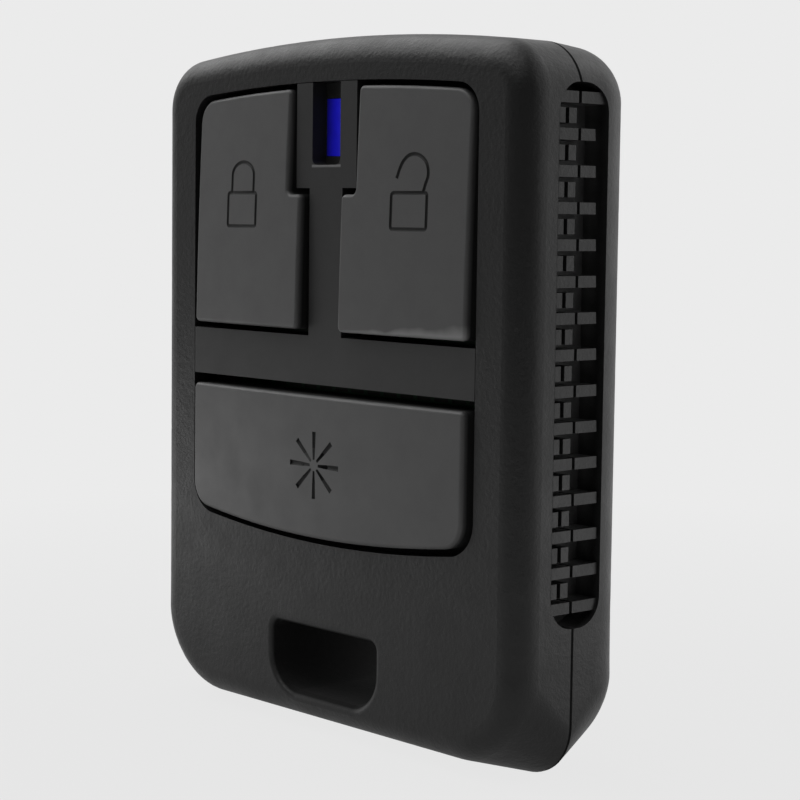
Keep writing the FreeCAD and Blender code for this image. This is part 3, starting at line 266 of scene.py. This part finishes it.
def key_lip_highlight(tree, place):
    """Painted highlight above the lower lip of the upper right key, taller to the right and ragged."""
    ragged = add(tree, "ShaderNodeTexNoise", {"Vector": place, "Scale": 1 / KEY_LIP["ragged"], "Detail": 2})
    sideways, up = (add(tree, "ShaderNodeSeparateXYZ", {0: place}, axis) for axis in "XZ")
    reach = add(tree, "ShaderNodeMapRange", {
        "Value": sideways, "From Min": KEY_LIP["left"], "From Max": KEY_LIP["right"],
        "To Min": KEY_LIP["least"], "To Max": KEY_LIP["most"]})
    reach = add(tree, "ShaderNodeMath", {0: reach, 1: ragged}, operation="MULTIPLY")
    above = add(tree, "ShaderNodeMath", {0: up, 1: KEY_LIP["low"]}, operation="SUBTRACT")
    share = add(tree, "ShaderNodeMath", {0: above, 1: reach}, operation="DIVIDE")
    near = add(tree, "ShaderNodeMapRange", {"Value": share, "From Min": 1.0, "From Max": KEY_LIP["highlit"]})
    upper = add(tree, "ShaderNodeMath", {0: above, 1: KEY_LIP["under"]}, operation="GREATER_THAN")
    along = add(tree, "ShaderNodeMath", {0: sideways, 1: KEY_LIP["left"]}, operation="GREATER_THAN")
    both = add(tree, "ShaderNodeMath", {0: near, 1: upper}, operation="MULTIPLY")
    return add(tree, "ShaderNodeMath", {0: both, 1: along}, operation="MULTIPLY")


def slot_lip_highlight(tree, place):
    """Painted highlight on the lip under the lamp's slot."""
    sideways, up = (add(tree, "ShaderNodeSeparateXYZ", {0: place}, axis) for axis in "XZ")
    aside = add(tree, "ShaderNodeMath", {0: sideways}, operation="ABSOLUTE")
    within = add(tree, "ShaderNodeMath", {0: aside, 1: SLOT_LIP["half"]}, operation="LESS_THAN")
    above = add(tree, "ShaderNodeMapRange", {"Value": up, "From Min": SLOT_LIP["low"],
                                             "From Max": SLOT_LIP["highlit"]})
    below = add(tree, "ShaderNodeMath", {0: up, 1: SLOT_LIP["high"]}, operation="LESS_THAN")
    band = add(tree, "ShaderNodeMath", {0: above, 1: below}, operation="MULTIPLY")
    return add(tree, "ShaderNodeMath", {0: band, 1: within}, operation="MULTIPLY")


print("worn lips at mm:", round(KEY_LIP["low"] / MM, 2), "and", round(SLOT_LIP["low"] / MM, 2))

# %% [markdown]
# ## Moulded plastic
#
# The shells, the divider and the keys are ABS. The mould of the shells is spark eroded, so
# their skin has a grain that breaks highlights into a dull sparkle. The real grain is finer
# than the picture can show, so it is drawn as coarse as it needs to be. The divider and the
# keys come from smoother moulds. Handling leaves faint greasy patches, some millimetres wide,
# which vary the colour and the sheen a little. Noise gives both without geometry: the grain
# as a bump, the patches as colour and roughness. Dust, painted shade and painted highlights
# go over them.

# %% Moulded plastic
PATCH_SIZE, PATCH_SHEEN = 3 * MM, 0.06
GRAIN_STRENGTH = 0.6
ABS_IOR = 1.53


def moulded_plastic(name, dark, light, roughness, grain, depth, gloss=0.38, over=()):
    """Plastic with the grain of its mould, in metres, greasy patches, and dust, painted shade or painted
    highlights over them.
    """
    material, tree, place = new_material(name)
    patches = add(tree, "ShaderNodeTexNoise", {"Vector": place, "Scale": 1 / PATCH_SIZE, "Detail": 5,
                                               "Roughness": 0.6})
    patches = add(tree, "ShaderNodeMapRange", {"Value": patches, "From Min": 0.3, "From Max": 0.7})
    fine = add(tree, "ShaderNodeTexNoise", {"Vector": place, "Scale": 1 / grain, "Detail": 4, "Roughness": 0.7})
    colour = add(tree, "ShaderNodeMix", {"Factor": patches, "A": linear(dark), "B": linear(light)},
                 data_type="RGBA")
    rough = add(tree, "ShaderNodeMapRange", {"Value": patches, "To Min": roughness + PATCH_SHEEN,
                                             "To Max": roughness - PATCH_SHEEN})
    for factor_at, tint, dullness in over:
        share = factor_at(tree, place)
        colour = add(tree, "ShaderNodeMix", {"Factor": share, "A": colour, "B": linear(tint)}, data_type="RGBA")
        rough = add(tree, "ShaderNodeMix", {"Factor": share, "A": rough, "B": dullness})
    grained = add(tree, "ShaderNodeBump", {"Height": fine, "Strength": GRAIN_STRENGTH, "Distance": depth})
    shader = add(tree, "ShaderNodeBsdfPrincipled", {"Base Color": colour, "Roughness": rough, "IOR": ABS_IOR,
                                                    "Specular IOR Level": gloss, "Normal": grained})
    add(tree, "ShaderNodeOutputMaterial", {"Surface": shader})
    return material


# Shells: black ABS from a spark-eroded mould, dull with a broken sparkle, grey dust, and painted shade in the
# strap opening, along the seam and at the foot of the combs.
shell_abs = moulded_plastic("eroded_black_abs", "#282828", "#2d2d2d", 0.37, 0.42 * MM, 0.076 * MM, 0.30,
                            over=[(opening_shade, "#0d0d0d", 0.95), (grip_dust, "#5a5a5a", 0.9),
                                  (grip_edge_shade, "#0c0c0c", 0.9), (seam_shade, "#0a0a0a", 0.9)])
# Divider: black ABS from a blasted mould, nearly smooth, with a painted highlight on the lip under the slot.
divider_abs = moulded_plastic("satin_black_abs", "#303030", "#353535", 0.42, 0.12 * MM, 0.012 * MM,
                              over=[(slot_lip_highlight, "#7d7d7d", 0.4)])
# Keys: grey ABS from a fine mould, so the light runs softly and evenly over them, with painted shade in the
# gaps round them and a painted highlight on one lower lip.
key_abs = moulded_plastic("satin_grey_abs", "#595959", "#5e5e5e", 0.45, 0.10 * MM, 0.008 * MM,
                          over=[(key_lip_highlight, "#8e8e8e", 0.4), (gap_shade, "#141414", 0.9)])
# Grooves: the keys' plastic at the bottom of a cut, darker as painted shade for the shade in the groove.
groove_abs = moulded_plastic("shaded_groove_abs", "#1d1d1d", "#232323", 0.6, 0.09 * MM, 0.006 * MM, 0.3)
print("plastics:", [m.name for m in (shell_abs, divider_abs, key_abs, groove_abs)])

# %% [markdown]
# ## The lamp's light guide
#
# A clear blue polycarbonate block carries the lamp's light to the slot. It glows from inside,
# strongest along its right half, where the lamp sits, and fades towards its left side and its
# two ends. The glow is painted into the material, worked out from the place on the block. The
# camera sees all of it, but only about a quarter of it is cast on the plastic around it.

# %% Blue light guide
GLOW_FULL_FROM, GLOW_FULL_TO = -0.1, 0.8
HELD_BACK = 0.74
guide_low, guide_high = (Vector(corner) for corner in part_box("light_guide"))
guide_middle, guide_half = (guide_low + guide_high) / 2, (guide_high - guide_low) / 2
blue_guide, tree, place = new_material("lit_blue_polycarbonate")
offset = add(tree, "ShaderNodeVectorMath", {0: place, 1: guide_middle}, operation="SUBTRACT")
side, height = (add(tree, "ShaderNodeSeparateXYZ", {0: offset}, axis) for axis in "XZ")
height = add(tree, "ShaderNodeMath", {0: height}, operation="ABSOLUTE")
right = add(tree, "ShaderNodeMapRange", {"Value": side, "From Min": -guide_half.x,
                                         "From Max": GLOW_FULL_FROM * guide_half.x},
            interpolation_type="SMOOTHSTEP")
ends = add(tree, "ShaderNodeMapRange", {"Value": height, "From Min": guide_half.z,
                                        "From Max": GLOW_FULL_TO * guide_half.z},
           interpolation_type="SMOOTHSTEP")
share = add(tree, "ShaderNodeMath", {0: right, 1: ends}, operation="MULTIPLY")
cloud = add(tree, "ShaderNodeTexNoise", {"Vector": place, "Scale": 1 / (1.5 * MM), "Detail": 2})
lit = add(tree, "ShaderNodeMix", {"Factor": cloud, "A": linear("#0d0c73"), "B": linear("#1513a5")},
          data_type="RGBA")
glow = add(tree, "ShaderNodeMix", {"Factor": share, "A": linear("#04031c"), "B": lit}, data_type="RGBA")
# Painted glow: diffuse and glossy rays get only about a quarter of the glow that the camera sees.
cast = [add(tree, "ShaderNodeLightPath", output=f"Is {kind} Ray") for kind in ("Diffuse", "Glossy")]
cast = add(tree, "ShaderNodeMath", {0: cast[0], 1: cast[1]}, operation="MAXIMUM")
cast = add(tree, "ShaderNodeMath", {0: cast, 1: HELD_BACK}, operation="MULTIPLY")
glow = add(tree, "ShaderNodeMix", {"Factor": cast, "A": glow, "B": (0, 0, 0, 1)}, data_type="RGBA")
shader = add(tree, "ShaderNodeBsdfPrincipled", {"Base Color": linear("#06052e"), "Roughness": 0.25, "IOR": 1.58,
                                                "Emission Color": glow, "Emission Strength": 1.0})
add(tree, "ShaderNodeOutputMaterial", {"Surface": shader})
print("light guide in mm:", [round(v / MM, 2) for v in (*guide_low, *guide_high)])

# %% [markdown]
# ## The works inside
#
# Nothing opens this remote, so its board, switches and cell never show. They still get their
# real finishes, because the part is also used with its shells hidden.

# %% Metals, board and small plastics
MARK_STRETCH, MARK_SHEEN = 0.08, 0.06
TRACK_PITCH, TRACK_SHARE = 4 * MM, 0.06


def rolled_metal(name, dark, light, roughness, grain):
    """Plated sheet metal with fine rolling marks along X."""
    material, tree, place = new_material(name)
    stretched = add(tree, "ShaderNodeMapping", {"Vector": place, "Scale": (MARK_STRETCH, 1, 1)})
    marks = add(tree, "ShaderNodeTexNoise", {"Vector": stretched, "Scale": 1 / grain, "Detail": 2})
    colour = add(tree, "ShaderNodeMix", {"Factor": marks, "A": linear(dark), "B": linear(light)},
                 data_type="RGBA")
    rough = add(tree, "ShaderNodeMapRange", {"Value": marks, "To Min": roughness - MARK_SHEEN,
                                             "To Max": roughness + MARK_SHEEN})
    shader = add(tree, "ShaderNodeBsdfPrincipled", {"Base Color": colour, "Metallic": 1.0, "Roughness": rough})
    add(tree, "ShaderNodeOutputMaterial", {"Surface": shader})
    return material


def circuit_laminate(name):
    """Green lacquered glass laminate with copper tracks under the lacquer."""
    material, tree, place = new_material(name)
    facing = add(tree, "ShaderNodeMapping", {"Vector": place, "Rotation": (math.pi / 2, 0, 0)})
    tracks = add(tree, "ShaderNodeTexBrick", {
        "Vector": facing, "Scale": 1 / TRACK_PITCH, "Mortar Size": TRACK_SHARE, "Color1": linear("#0d3b1e"),
        "Color2": linear("#114724"), "Mortar": linear("#1f6a3a")})
    shader = add(tree, "ShaderNodeBsdfPrincipled", {"Base Color": tracks, "Roughness": 0.3, "IOR": 1.55})
    add(tree, "ShaderNodeOutputMaterial", {"Surface": shader})
    return material


# Metals: nickel plate is bright and nearly white, tinned brass warm, both streaked by the rolls.
nickel = rolled_metal("nickel_plated_steel", "#b5b3ae", "#c9c7c2", 0.3, 0.2 * MM)
brass = rolled_metal("tinned_brass", "#c2a869", "#d6bf84", 0.32, 0.2 * MM)
# Board: clear lacquer over green laminate gives a soft gloss.
laminate = circuit_laminate("lacquered_glass_laminate")
# Small parts: glassy lamp epoxy, dull chip epoxy, satin nylons and chalky fired ceramic.
lamp_epoxy = moulded_plastic("clear_lamp_epoxy", "#c9d2e6", "#dbe2f2", 0.15, 0.3 * MM, 0.002 * MM, 0.5)
chip_epoxy = moulded_plastic("black_chip_epoxy", "#242424", "#2b2b2b", 0.55, 0.06 * MM, 0.006 * MM, 0.5)
switch_nylon = moulded_plastic("black_switch_nylon", "#1d1d1d", "#242424", 0.5, 0.08 * MM, 0.006 * MM, 0.5)
plunger_nylon = moulded_plastic("cream_nylon", "#b8ac92", "#c4b9a1", 0.5, 0.08 * MM, 0.004 * MM, 0.5)
ceramic = moulded_plastic("fired_tan_ceramic", "#a58763", "#b3966f", 0.6, 0.05 * MM, 0.006 * MM, 0.5)
print("materials:", len(bpy.data.materials))

# %% [markdown]
# ## Dress the solids
#
# A solid whose shape is right keeps its mesh and only gets its finish. The three keys are
# dressed too, although signed copies will stand for them.

# %% Dress every CAD node
finishes = {
    "front_shell": shell_abs, "rear_shell": shell_abs, "key_divider": divider_abs,
    "lock_key": key_abs, "unlock_key": key_abs, "star_key": key_abs, "light_guide": blue_guide,
    "status_led": lamp_epoxy, "circuit_board": laminate, "lock_switch": switch_nylon,
    "unlock_switch": switch_nylon, "star_switch": switch_nylon, "lock_switch_button": plunger_nylon,
    "unlock_switch_button": plunger_nylon, "star_switch_button": plunger_nylon, "code_chip": chip_epoxy,
    "saw_resonator": nickel, "rf_transistor": chip_epoxy, "trimmer_capacitor": plunger_nylon,
    "chip_capacitors": ceramic, "chip_resistors": chip_epoxy, "antenna_loop": brass, "battery_contact": brass,
    "battery": nickel, "battery_clip": nickel, "case_screws": nickel,
}


def dress(piece, *materials):
    """Give a piece its materials, in place of any that it came with."""
    piece.data.materials.clear()
    for material in materials:
        piece.data.materials.append(material)


for name, finish in finishes.items():
    dress(nodes[name], finish)
print("dressed:", len(finishes), "nodes left:", sorted(set(nodes) - set(finishes)))

# %% [markdown]
# ## The signs cut into the keys
#
# Each key has a generic sign cut into it by the mould: a closed padlock, an open padlock and
# an eight-armed star. Every sign is made of strokes, and a stroke is a path with a width at
# each point. The paths are drawn flat in front of the keys, in mm across and up. The star
# needs only one arm, because its eight arms are the same arm turned about the centre.

# %% The strokes of the three signs
SIGN_WIDTH = 0.30
BODY_WIDTH, BODY_HEIGHT, BODY_LOW = 3.84, 2.72, 40.6
BODY_TOP = BODY_LOW + BODY_HEIGHT
LOCK_MIDDLE, UNLOCK_MIDDLE = -10.13, 10.24
SHACKLE = {"middle": -10.07, "half": 1.48, "low": BODY_TOP, "spring": 44.75, "rise": 1.05}
HOOK = [(8.84, 44.40), (9.30, 45.42), (9.88, 46.0), (10.55, 46.2), (11.25, 46.08), (11.9, 45.65),
        (12.18, 45.05), (12.18, 44.5), (11.97, 44.0), (11.72, BODY_TOP)]
STAR_CENTRE, STAR_STRETCH, STAR_ARMS = 21.92, 1.12, 8
STAR_REACH_AND_WIDTH = ((0.44, 0.22), (1.4, 0.34), (2.66, 0.42))


def padlock_body(middle):
    """The four corners of a padlock's body."""
    left, right = middle - BODY_WIDTH / 2, middle + BODY_WIDTH / 2
    corners = ((left, BODY_LOW), (right, BODY_LOW), (right, BODY_TOP), (left, BODY_TOP))
    return [(x, z, SIGN_WIDTH) for x, z in corners]


def arch(middle, half, low, spring, rise, steps=16):
    """Two straight legs joined by a half ellipse."""
    turns = [math.pi * i / steps for i in range(steps + 1)]
    top = [(middle - half * math.cos(a), spring + rise * math.sin(a), SIGN_WIDTH) for a in turns]
    return [(middle - half, low, SIGN_WIDTH)] + top + [(middle + half, low, SIGN_WIDTH)]


def smooth_path(points, steps=5):
    """A Catmull-Rom curve through points, at the sign's width."""
    ends = [points[0]] + points + [points[-1]]
    path = []
    for i in range(1, len(ends) - 2):
        p, q, r, s = (Vector(ends[i + k]) for k in (-1, 0, 1, 2))
        for k in range(steps):
            t = k / steps
            x, z = 0.5 * (2 * q + (r - p) * t + (2 * p - 5 * q + 4 * r - s) * t * t
                          + (3 * q - p - 3 * r + s) * t ** 3)
            path.append((x, z, SIGN_WIDTH))
    return path + [(*points[-1], SIGN_WIDTH)]


star_arm = [(0, STAR_CENTRE + reach, width) for reach, width in STAR_REACH_AND_WIDTH]
signs = {
    "lock_key": [("body", padlock_body(LOCK_MIDDLE), 1), ("shackle", arch(**SHACKLE), 1)],
    "unlock_key": [("body", padlock_body(UNLOCK_MIDDLE), 1), ("shackle", smooth_path(HOOK), 1)],
    "star_key": [("arms", star_arm, STAR_ARMS)],
}
print("strokes:", {key: [(name, len(path), copies) for name, path, copies in strokes]
                   for key, strokes in signs.items()})

# %% [markdown]
# ## A tree that sweeps a cutter along a path
#
# A groove follows its path and the dome of the key. Geometry Nodes do this in one chain: the
# path becomes a curve, its corners are rounded, it is repeated round a centre, each point
# drops straight onto the key, and a ring swept along it makes a closed cutter. The ring's
# centre stays a little in front of the surface, so the groove is shallower than it is wide.

# %% Geometry tree of the cutters
PATH_FRONT, DROP = -50 * MM, 100 * MM
CORNER_STEPS = 3
CUTTER_INPUTS = {"Key": "Object", "Copies": "Int", "Centre height": "Float", "Stretch across": "Float",
                 "Corner": "Float", "Proud": "Float", "Sides": "Int", "Paint": "Material"}


def groove_cutter_tree():
    """The tree that turns a flat path into a cutter on a key."""
    tree = bpy.data.node_groups.new("groove_cutter", "GeometryNodeTree")
    tree.interface.new_socket("Path", in_out="INPUT", socket_type="NodeSocketGeometry")
    for name, kind in CUTTER_INPUTS.items():
        tree.interface.new_socket(name, in_out="INPUT", socket_type=f"NodeSocket{kind}")
    tree.interface.new_socket("Cutter", in_out="OUTPUT", socket_type="NodeSocketGeometry")
    entry = add(tree, "NodeGroupInput").node.outputs
    curve = add(tree, "GeometryNodeMeshToCurve", {"Mesh": entry["Path"]})
    radius = add(tree, "GeometryNodeInputNamedAttribute", {"Name": "stroke_radius"}, data_type="FLOAT")
    curve = add(tree, "GeometryNodeSetCurveRadius", {"Curve": curve, "Radius": radius})
    curve = add(tree, "GeometryNodeFilletCurve", {"Curve": curve, "Radius": entry["Corner"],
                                                  "Count": CORNER_STEPS, "Limit Radius": True}, mode="POLY")
    curves = add(tree, "GeometryNodeDuplicateElements", {"Geometry": curve, "Amount": entry["Copies"]},
                 "Geometry", domain="SPLINE")
    turn = add(tree, "ShaderNodeMath", {0: 2 * math.pi, 1: entry["Copies"]}, operation="DIVIDE")
    index = curves.node.outputs["Duplicate Index"]
    turn = add(tree, "ShaderNodeMath", {0: turn, 1: index}, operation="MULTIPLY")
    centre = add(tree, "ShaderNodeCombineXYZ", {"Z": entry["Centre height"]})
    spot = add(tree, "GeometryNodeInputPosition")
    turned = add(tree, "ShaderNodeVectorRotate", {"Vector": spot, "Center": centre, "Axis": (0, 1, 0),
                                                  "Angle": turn}, rotation_type="AXIS_ANGLE")
    stretch = add(tree, "ShaderNodeCombineXYZ", {"X": entry["Stretch across"], "Y": 1.0, "Z": 1.0})
    turned = add(tree, "ShaderNodeVectorMath", {0: turned, 1: stretch}, operation="MULTIPLY")
    flat_path = add(tree, "GeometryNodeSetPosition", {"Geometry": curves, "Position": turned})
    key = add(tree, "GeometryNodeObjectInfo", {"Object": entry["Key"]}, "Geometry", transform_space="RELATIVE")
    landing = add(tree, "GeometryNodeRaycast", {"Target Geometry": key, "Ray Direction": (0, 1, 0),
                                                "Ray Length": DROP}, "Hit Position")
    reach = add(tree, "GeometryNodeInputRadius")
    lift = add(tree, "ShaderNodeMath", {0: reach, 1: entry["Proud"]}, operation="MULTIPLY")
    lift = add(tree, "ShaderNodeMath", {0: lift, 1: -1.0}, operation="MULTIPLY")
    lift = add(tree, "ShaderNodeCombineXYZ", {"Y": lift})
    ring_path = add(tree, "GeometryNodeSetPosition", {"Geometry": flat_path, "Position": landing,
                                                      "Offset": lift})
    ring = add(tree, "GeometryNodeCurvePrimitiveCircle", {"Resolution": entry["Sides"], "Radius": 1.0})
    swept = add(tree, "GeometryNodeCurveToMesh", {"Curve": ring_path, "Profile Curve": ring, "Scale": reach,
                                                  "Fill Caps": True})
    solid = add(tree, "GeometryNodeRealizeInstances", {"Geometry": swept})
    solid = add(tree, "GeometryNodeSetMaterial", {"Geometry": solid, "Material": entry["Paint"]})
    add(tree, "NodeGroupOutput", {"Cutter": solid})
    return tree


cutter_tree = groove_cutter_tree()
print("cutter tree:", [item.name for item in cutter_tree.interface.items_tree])

# %% [markdown]
# ## A cutter for each stroke
#
# The cutter lands on the key's own surface, so it needs the key as one closed mesh. A CAD
# solid comes as loose triangles, which a copy of it joins. The tree's result then becomes a
# plain mesh, because the modifier's work is done.

# %% Joined copies and cutters
WELD = 1e-7
RING_SIDES, RING_PROUD, WIDTH_PER_RADIUS = 12, 0.35, 1.8
SIGN_CORNER = 0.22 * MM


def joined_copy(node_name):
    """A copy of a CAD key with its loose triangles joined and both of its plastics."""
    mesh = nodes[node_name].data.copy()
    bm = bmesh.new()
    bm.from_mesh(mesh)
    bmesh.ops.remove_doubles(bm, verts=bm.verts, dist=WELD)
    bm.to_mesh(mesh)
    bm.free()
    mesh.name = f"{node_name}_signed"
    piece = bpy.data.objects.new(mesh.name, mesh)
    bpy.context.scene.collection.objects.link(piece)
    dress(piece, key_abs, groove_abs)
    return piece


def finished_mesh(piece):
    """The mesh that a piece's modifiers give, with the modifiers removed from the piece."""
    bpy.context.view_layer.update()
    mesh = bpy.data.meshes.new_from_object(piece.evaluated_get(bpy.context.evaluated_depsgraph_get()))
    piece.modifiers.clear()
    return mesh


def cutter_of(name, path, copies, key):
    """The solid that cuts one stroke, from its path and the geometry tree."""
    mesh = bpy.data.meshes.new(name)
    edges = [(i, i + 1) for i in range(len(path) - 1)]
    if name.endswith("body"):
        edges.append((len(path) - 1, 0))
    mesh.from_pydata([(x * MM, PATH_FRONT, z * MM) for x, z, _ in path], edges, [])
    mesh.attributes.new("stroke_radius", "FLOAT", "POINT").data.foreach_set(
        "value", [width * MM / WIDTH_PER_RADIUS for _, _, width in path])
    cutter = bpy.data.objects.new(name, mesh)
    bpy.context.scene.collection.objects.link(cutter)
    sweep = cutter.modifiers.new("sweep", "NODES")
    sweep.node_group = cutter_tree
    values = {"Key": key, "Copies": copies, "Centre height": STAR_CENTRE * MM,
              "Stretch across": STAR_STRETCH if copies > 1 else 1.0, "Corner": SIGN_CORNER,
              "Proud": RING_PROUD, "Sides": RING_SIDES, "Paint": groove_abs}
    for item in cutter_tree.interface.items_tree:
        if item.name in values:
            sweep[item.identifier] = values[item.name]
    cutter.data = finished_mesh(cutter)
    bm = bmesh.new()
    bm.from_mesh(cutter.data)
    bmesh.ops.recalc_face_normals(bm, faces=bm.faces)
    print(name, "cutter in cubic mm:", round(bm.calc_volume() / MM ** 3, 4))
    bm.to_mesh(cutter.data)
    bm.free()
    return cutter


# %% [markdown]
# ## Cut the grooves
#
# An exact boolean takes each cutter away and keeps the cutter's plastic on the walls of the
# groove. Where a groove meets the dome, the new long triangles would bend the light, so the
# corners on the dome get the dome's own directions back. The signed copy then stands for the
# CAD key.

# %% Cut the three keys
ON_DOME, SHARP = math.radians(2), math.radians(32)


def dome_direction(x, z):
    """The direction that the keys' common dome faces at a place across and up."""
    return Vector((x / DOME_ACROSS, -1, (z - DOME_HEIGHT) / DOME_ALONG)).normalized()


def settle_dome(mesh):
    """Give the cut dome back the dome's own directions."""
    normals = [tuple(corner.vector) for corner in mesh.corner_normals]
    for face in mesh.polygons:
        outwards = dome_direction(face.center.x, face.center.z)
        if face.material_index == 0 and face.normal.angle(outwards) < ON_DOME:
            for corner in face.loop_indices:
                spot = mesh.vertices[mesh.loops[corner].vertex_index].co
                normals[corner] = dome_direction(spot.x, spot.z)
    mesh.normals_split_custom_set(normals)


def cut_key(node_name, strokes):
    """Cut strokes into a copy of a key, and let the copy stand for the CAD key on its own body."""
    piece = joined_copy(node_name)
    uncut = joined_copy(node_name)
    for name, path, copies in strokes:
        cutter = cutter_of(f"{node_name}_{name}", path, copies, uncut)
        cut = piece.modifiers.new("cut", "BOOLEAN")
        cut.object = cutter
        cut.solver = "EXACT"
        cut.material_mode = "TRANSFER"
        cut.use_self = True
        piece.data = finished_mesh(piece)
        bpy.data.objects.remove(cutter)
    bpy.data.objects.remove(uncut)
    piece.data.set_sharp_from_angle(angle=SHARP)
    piece.data.polygons.foreach_set("use_smooth", [True] * len(piece.data.polygons))
    settle_dome(piece.data)
    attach(piece, node_name)
    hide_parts(node_name)
    print(piece.name, "faces:", len(piece.data.polygons), "slots:", [m.name for m in piece.data.materials])


for node_name, strokes in signs.items():
    cut_key(node_name, strokes)

# %% [markdown]
# ## The floor
#
# The remote stands on a pale grey sheet. A camera ray sees the sheet nearly as plain emission,
# so the sheet melts into the pale surround further out. The small rest is shaded paper, which
# keeps the soft shadow. Glossy rays see less of the emission near the remote, or the sheet
# would draw a bright line along the remote's bottom edge.

# %% Pale floor
PALE = "#ebebeb"
SHEET = 160 * MM
NEAR_SHARES = {"Camera": 0.93, "Glossy": 0.36, "Transmission": 0.93}
FADE_FROM, FADE_TO = 40 * MM, 0.9 * SHEET
sheet_mesh = bpy.data.meshes.new("floor")
bm = bmesh.new()
bmesh.ops.create_circle(bm, cap_ends=True, segments=128, radius=SHEET)
bm.to_mesh(sheet_mesh)
bm.free()
floor = bpy.data.objects.new("floor", sheet_mesh)
bpy.context.scene.collection.objects.link(floor)
pale_paper, tree, place = new_material("pale_paper")
fibres = add(tree, "ShaderNodeTexNoise", {"Vector": place, "Scale": 1 / (8 * MM), "Detail": 3})
paper = add(tree, "ShaderNodeMix", {"Factor": fibres, "A": linear("#a4a4a4"), "B": linear("#a8a8a8")},
            data_type="RGBA")
shaded = add(tree, "ShaderNodeBsdfDiffuse", {"Color": paper})
plain = add(tree, "ShaderNodeEmission", {"Color": linear(PALE), "Strength": 1.0})
reach = add(tree, "ShaderNodeVectorMath", {0: place}, "Value", operation="LENGTH")
share = 0.0
for kind, near_share in NEAR_SHARES.items():
    is_kind = add(tree, "ShaderNodeLightPath", output=f"Is {kind} Ray")
    fade = add(tree, "ShaderNodeMapRange", {"Value": reach, "From Min": FADE_FROM, "From Max": FADE_TO,
                                            "To Min": near_share, "To Max": 1.0})
    share = add(tree, "ShaderNodeMath", {0: is_kind, 1: fade, 2: share}, operation="MULTIPLY_ADD")
surface = add(tree, "ShaderNodeMixShader", {0: share, 1: shaded, 2: plain})
add(tree, "ShaderNodeOutputMaterial", {"Surface": surface})
dress(floor, pale_paper)
floor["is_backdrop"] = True
print("floor of radius in mm:", SHEET / MM)

# %% [markdown]
# ## The surround
#
# A dim surround fills the shadows. It is darkest on the camera's side and brightest behind the
# remote, which gives the dark band down the rounded front edge and the bright rim at the top.
# The camera sees the plain pale colour in its place.

# %% Surround
BEHIND, BEFORE = {"facing": -0.75, "strength": 0.58}, {"facing": 0.35, "strength": 0.03}
world = bpy.data.worlds.new("studio")
bpy.context.scene.world = world
world.use_nodes = True
tree = world.node_tree
tree.nodes.clear()
direction = add(tree, "ShaderNodeTexCoord", output="Generated")
facing = add(tree, "ShaderNodeVectorMath", {0: direction, 1: away}, "Value", operation="DOT_PRODUCT")
strength = add(tree, "ShaderNodeMapRange", {
    "Value": facing, "From Min": BEHIND["facing"], "From Max": BEFORE["facing"],
    "To Min": BEHIND["strength"], "To Max": BEFORE["strength"]}, interpolation_type="SMOOTHSTEP")
studio = add(tree, "ShaderNodeBackground", {"Color": (1, 1, 1, 1), "Strength": strength})
backdrop = add(tree, "ShaderNodeBackground", {"Color": linear(PALE), "Strength": 1.0})
camera_ray = add(tree, "ShaderNodeLightPath", output="Is Camera Ray")
surround = add(tree, "ShaderNodeMixShader", {0: camera_ray, 1: studio, 2: backdrop})
add(tree, "ShaderNodeOutputWorld", {"Surface": surround})
print("surround from", BEHIND["strength"], "behind to", BEFORE["strength"], "in front")

# %% [markdown]
# ## The lights
#
# Four broad suns light the plastic softly: from the left, from the front, low from the right
# and behind, and faintly from high behind. Suns light every point alike, so two small lamps
# near the floor add what they can't: the left one makes the front fall off to the right, as
# a window beside it would, and the right one lifts the lower rear corner.

# %% Four suns and two lamps
def direction_at(azimuth, elevation):
    """A direction from an azimuth round the object (0 in front, 90 right) and an elevation, in degrees."""
    turn, lift = math.radians(azimuth), math.radians(elevation)
    return Vector((math.sin(turn) * math.cos(lift), -math.cos(turn) * math.cos(lift), math.sin(lift)))


def light(name, kind, azimuth, elevation, energy, distance=1.0, **settings):
    """A light that shines on the object from a direction; a lamp stands at its distance."""
    source = direction_at(azimuth, elevation)
    lamp = bpy.data.objects.new(name, bpy.data.lights.new(name, kind))
    lamp.data.energy = energy
    for setting, value in settings.items():
        setattr(lamp.data, setting, value)
    lamp.rotation_mode = "QUATERNION"
    lamp.rotation_quaternion = source.to_track_quat("Z", "Y")
    lamp.location = TARGET + source * distance
    bpy.context.scene.collection.objects.link(lamp)


BROAD, BROADEST = math.radians(60), math.radians(90)
light("left_sun", "SUN", -78, 48, 1.3, angle=BROAD)
light("front_sun", "SUN", -12, 60, 0.82, angle=BROAD)
light("right_sun", "SUN", 138, 22, 1.2, angle=BROADEST)
light("back_sun", "SUN", 196, 56, 0.18, angle=BROAD)
light("left_lamp", "AREA", -70, -13, 0.0037, distance=100 * MM, shape="DISK", size=30 * MM)
light("right_lamp", "AREA", 134, -20, 0.0024, distance=75 * MM, shape="DISK", size=24 * MM)
bpy.context.scene.view_settings.view_transform = "Standard"
print("lights:", [lamp.name for lamp in bpy.data.lights])

# %% [markdown]
# ## Check the size and finish
#
# The dressed part must keep the real size, so the change of its box is printed.

# %% Print the change of the box and finish
new_low, new_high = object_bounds()
changes = [round((new - old) / MM, 3) for new, old in zip((*new_low, *new_high), (*cad_low, *cad_high))]
print("change of box in mm:", changes)
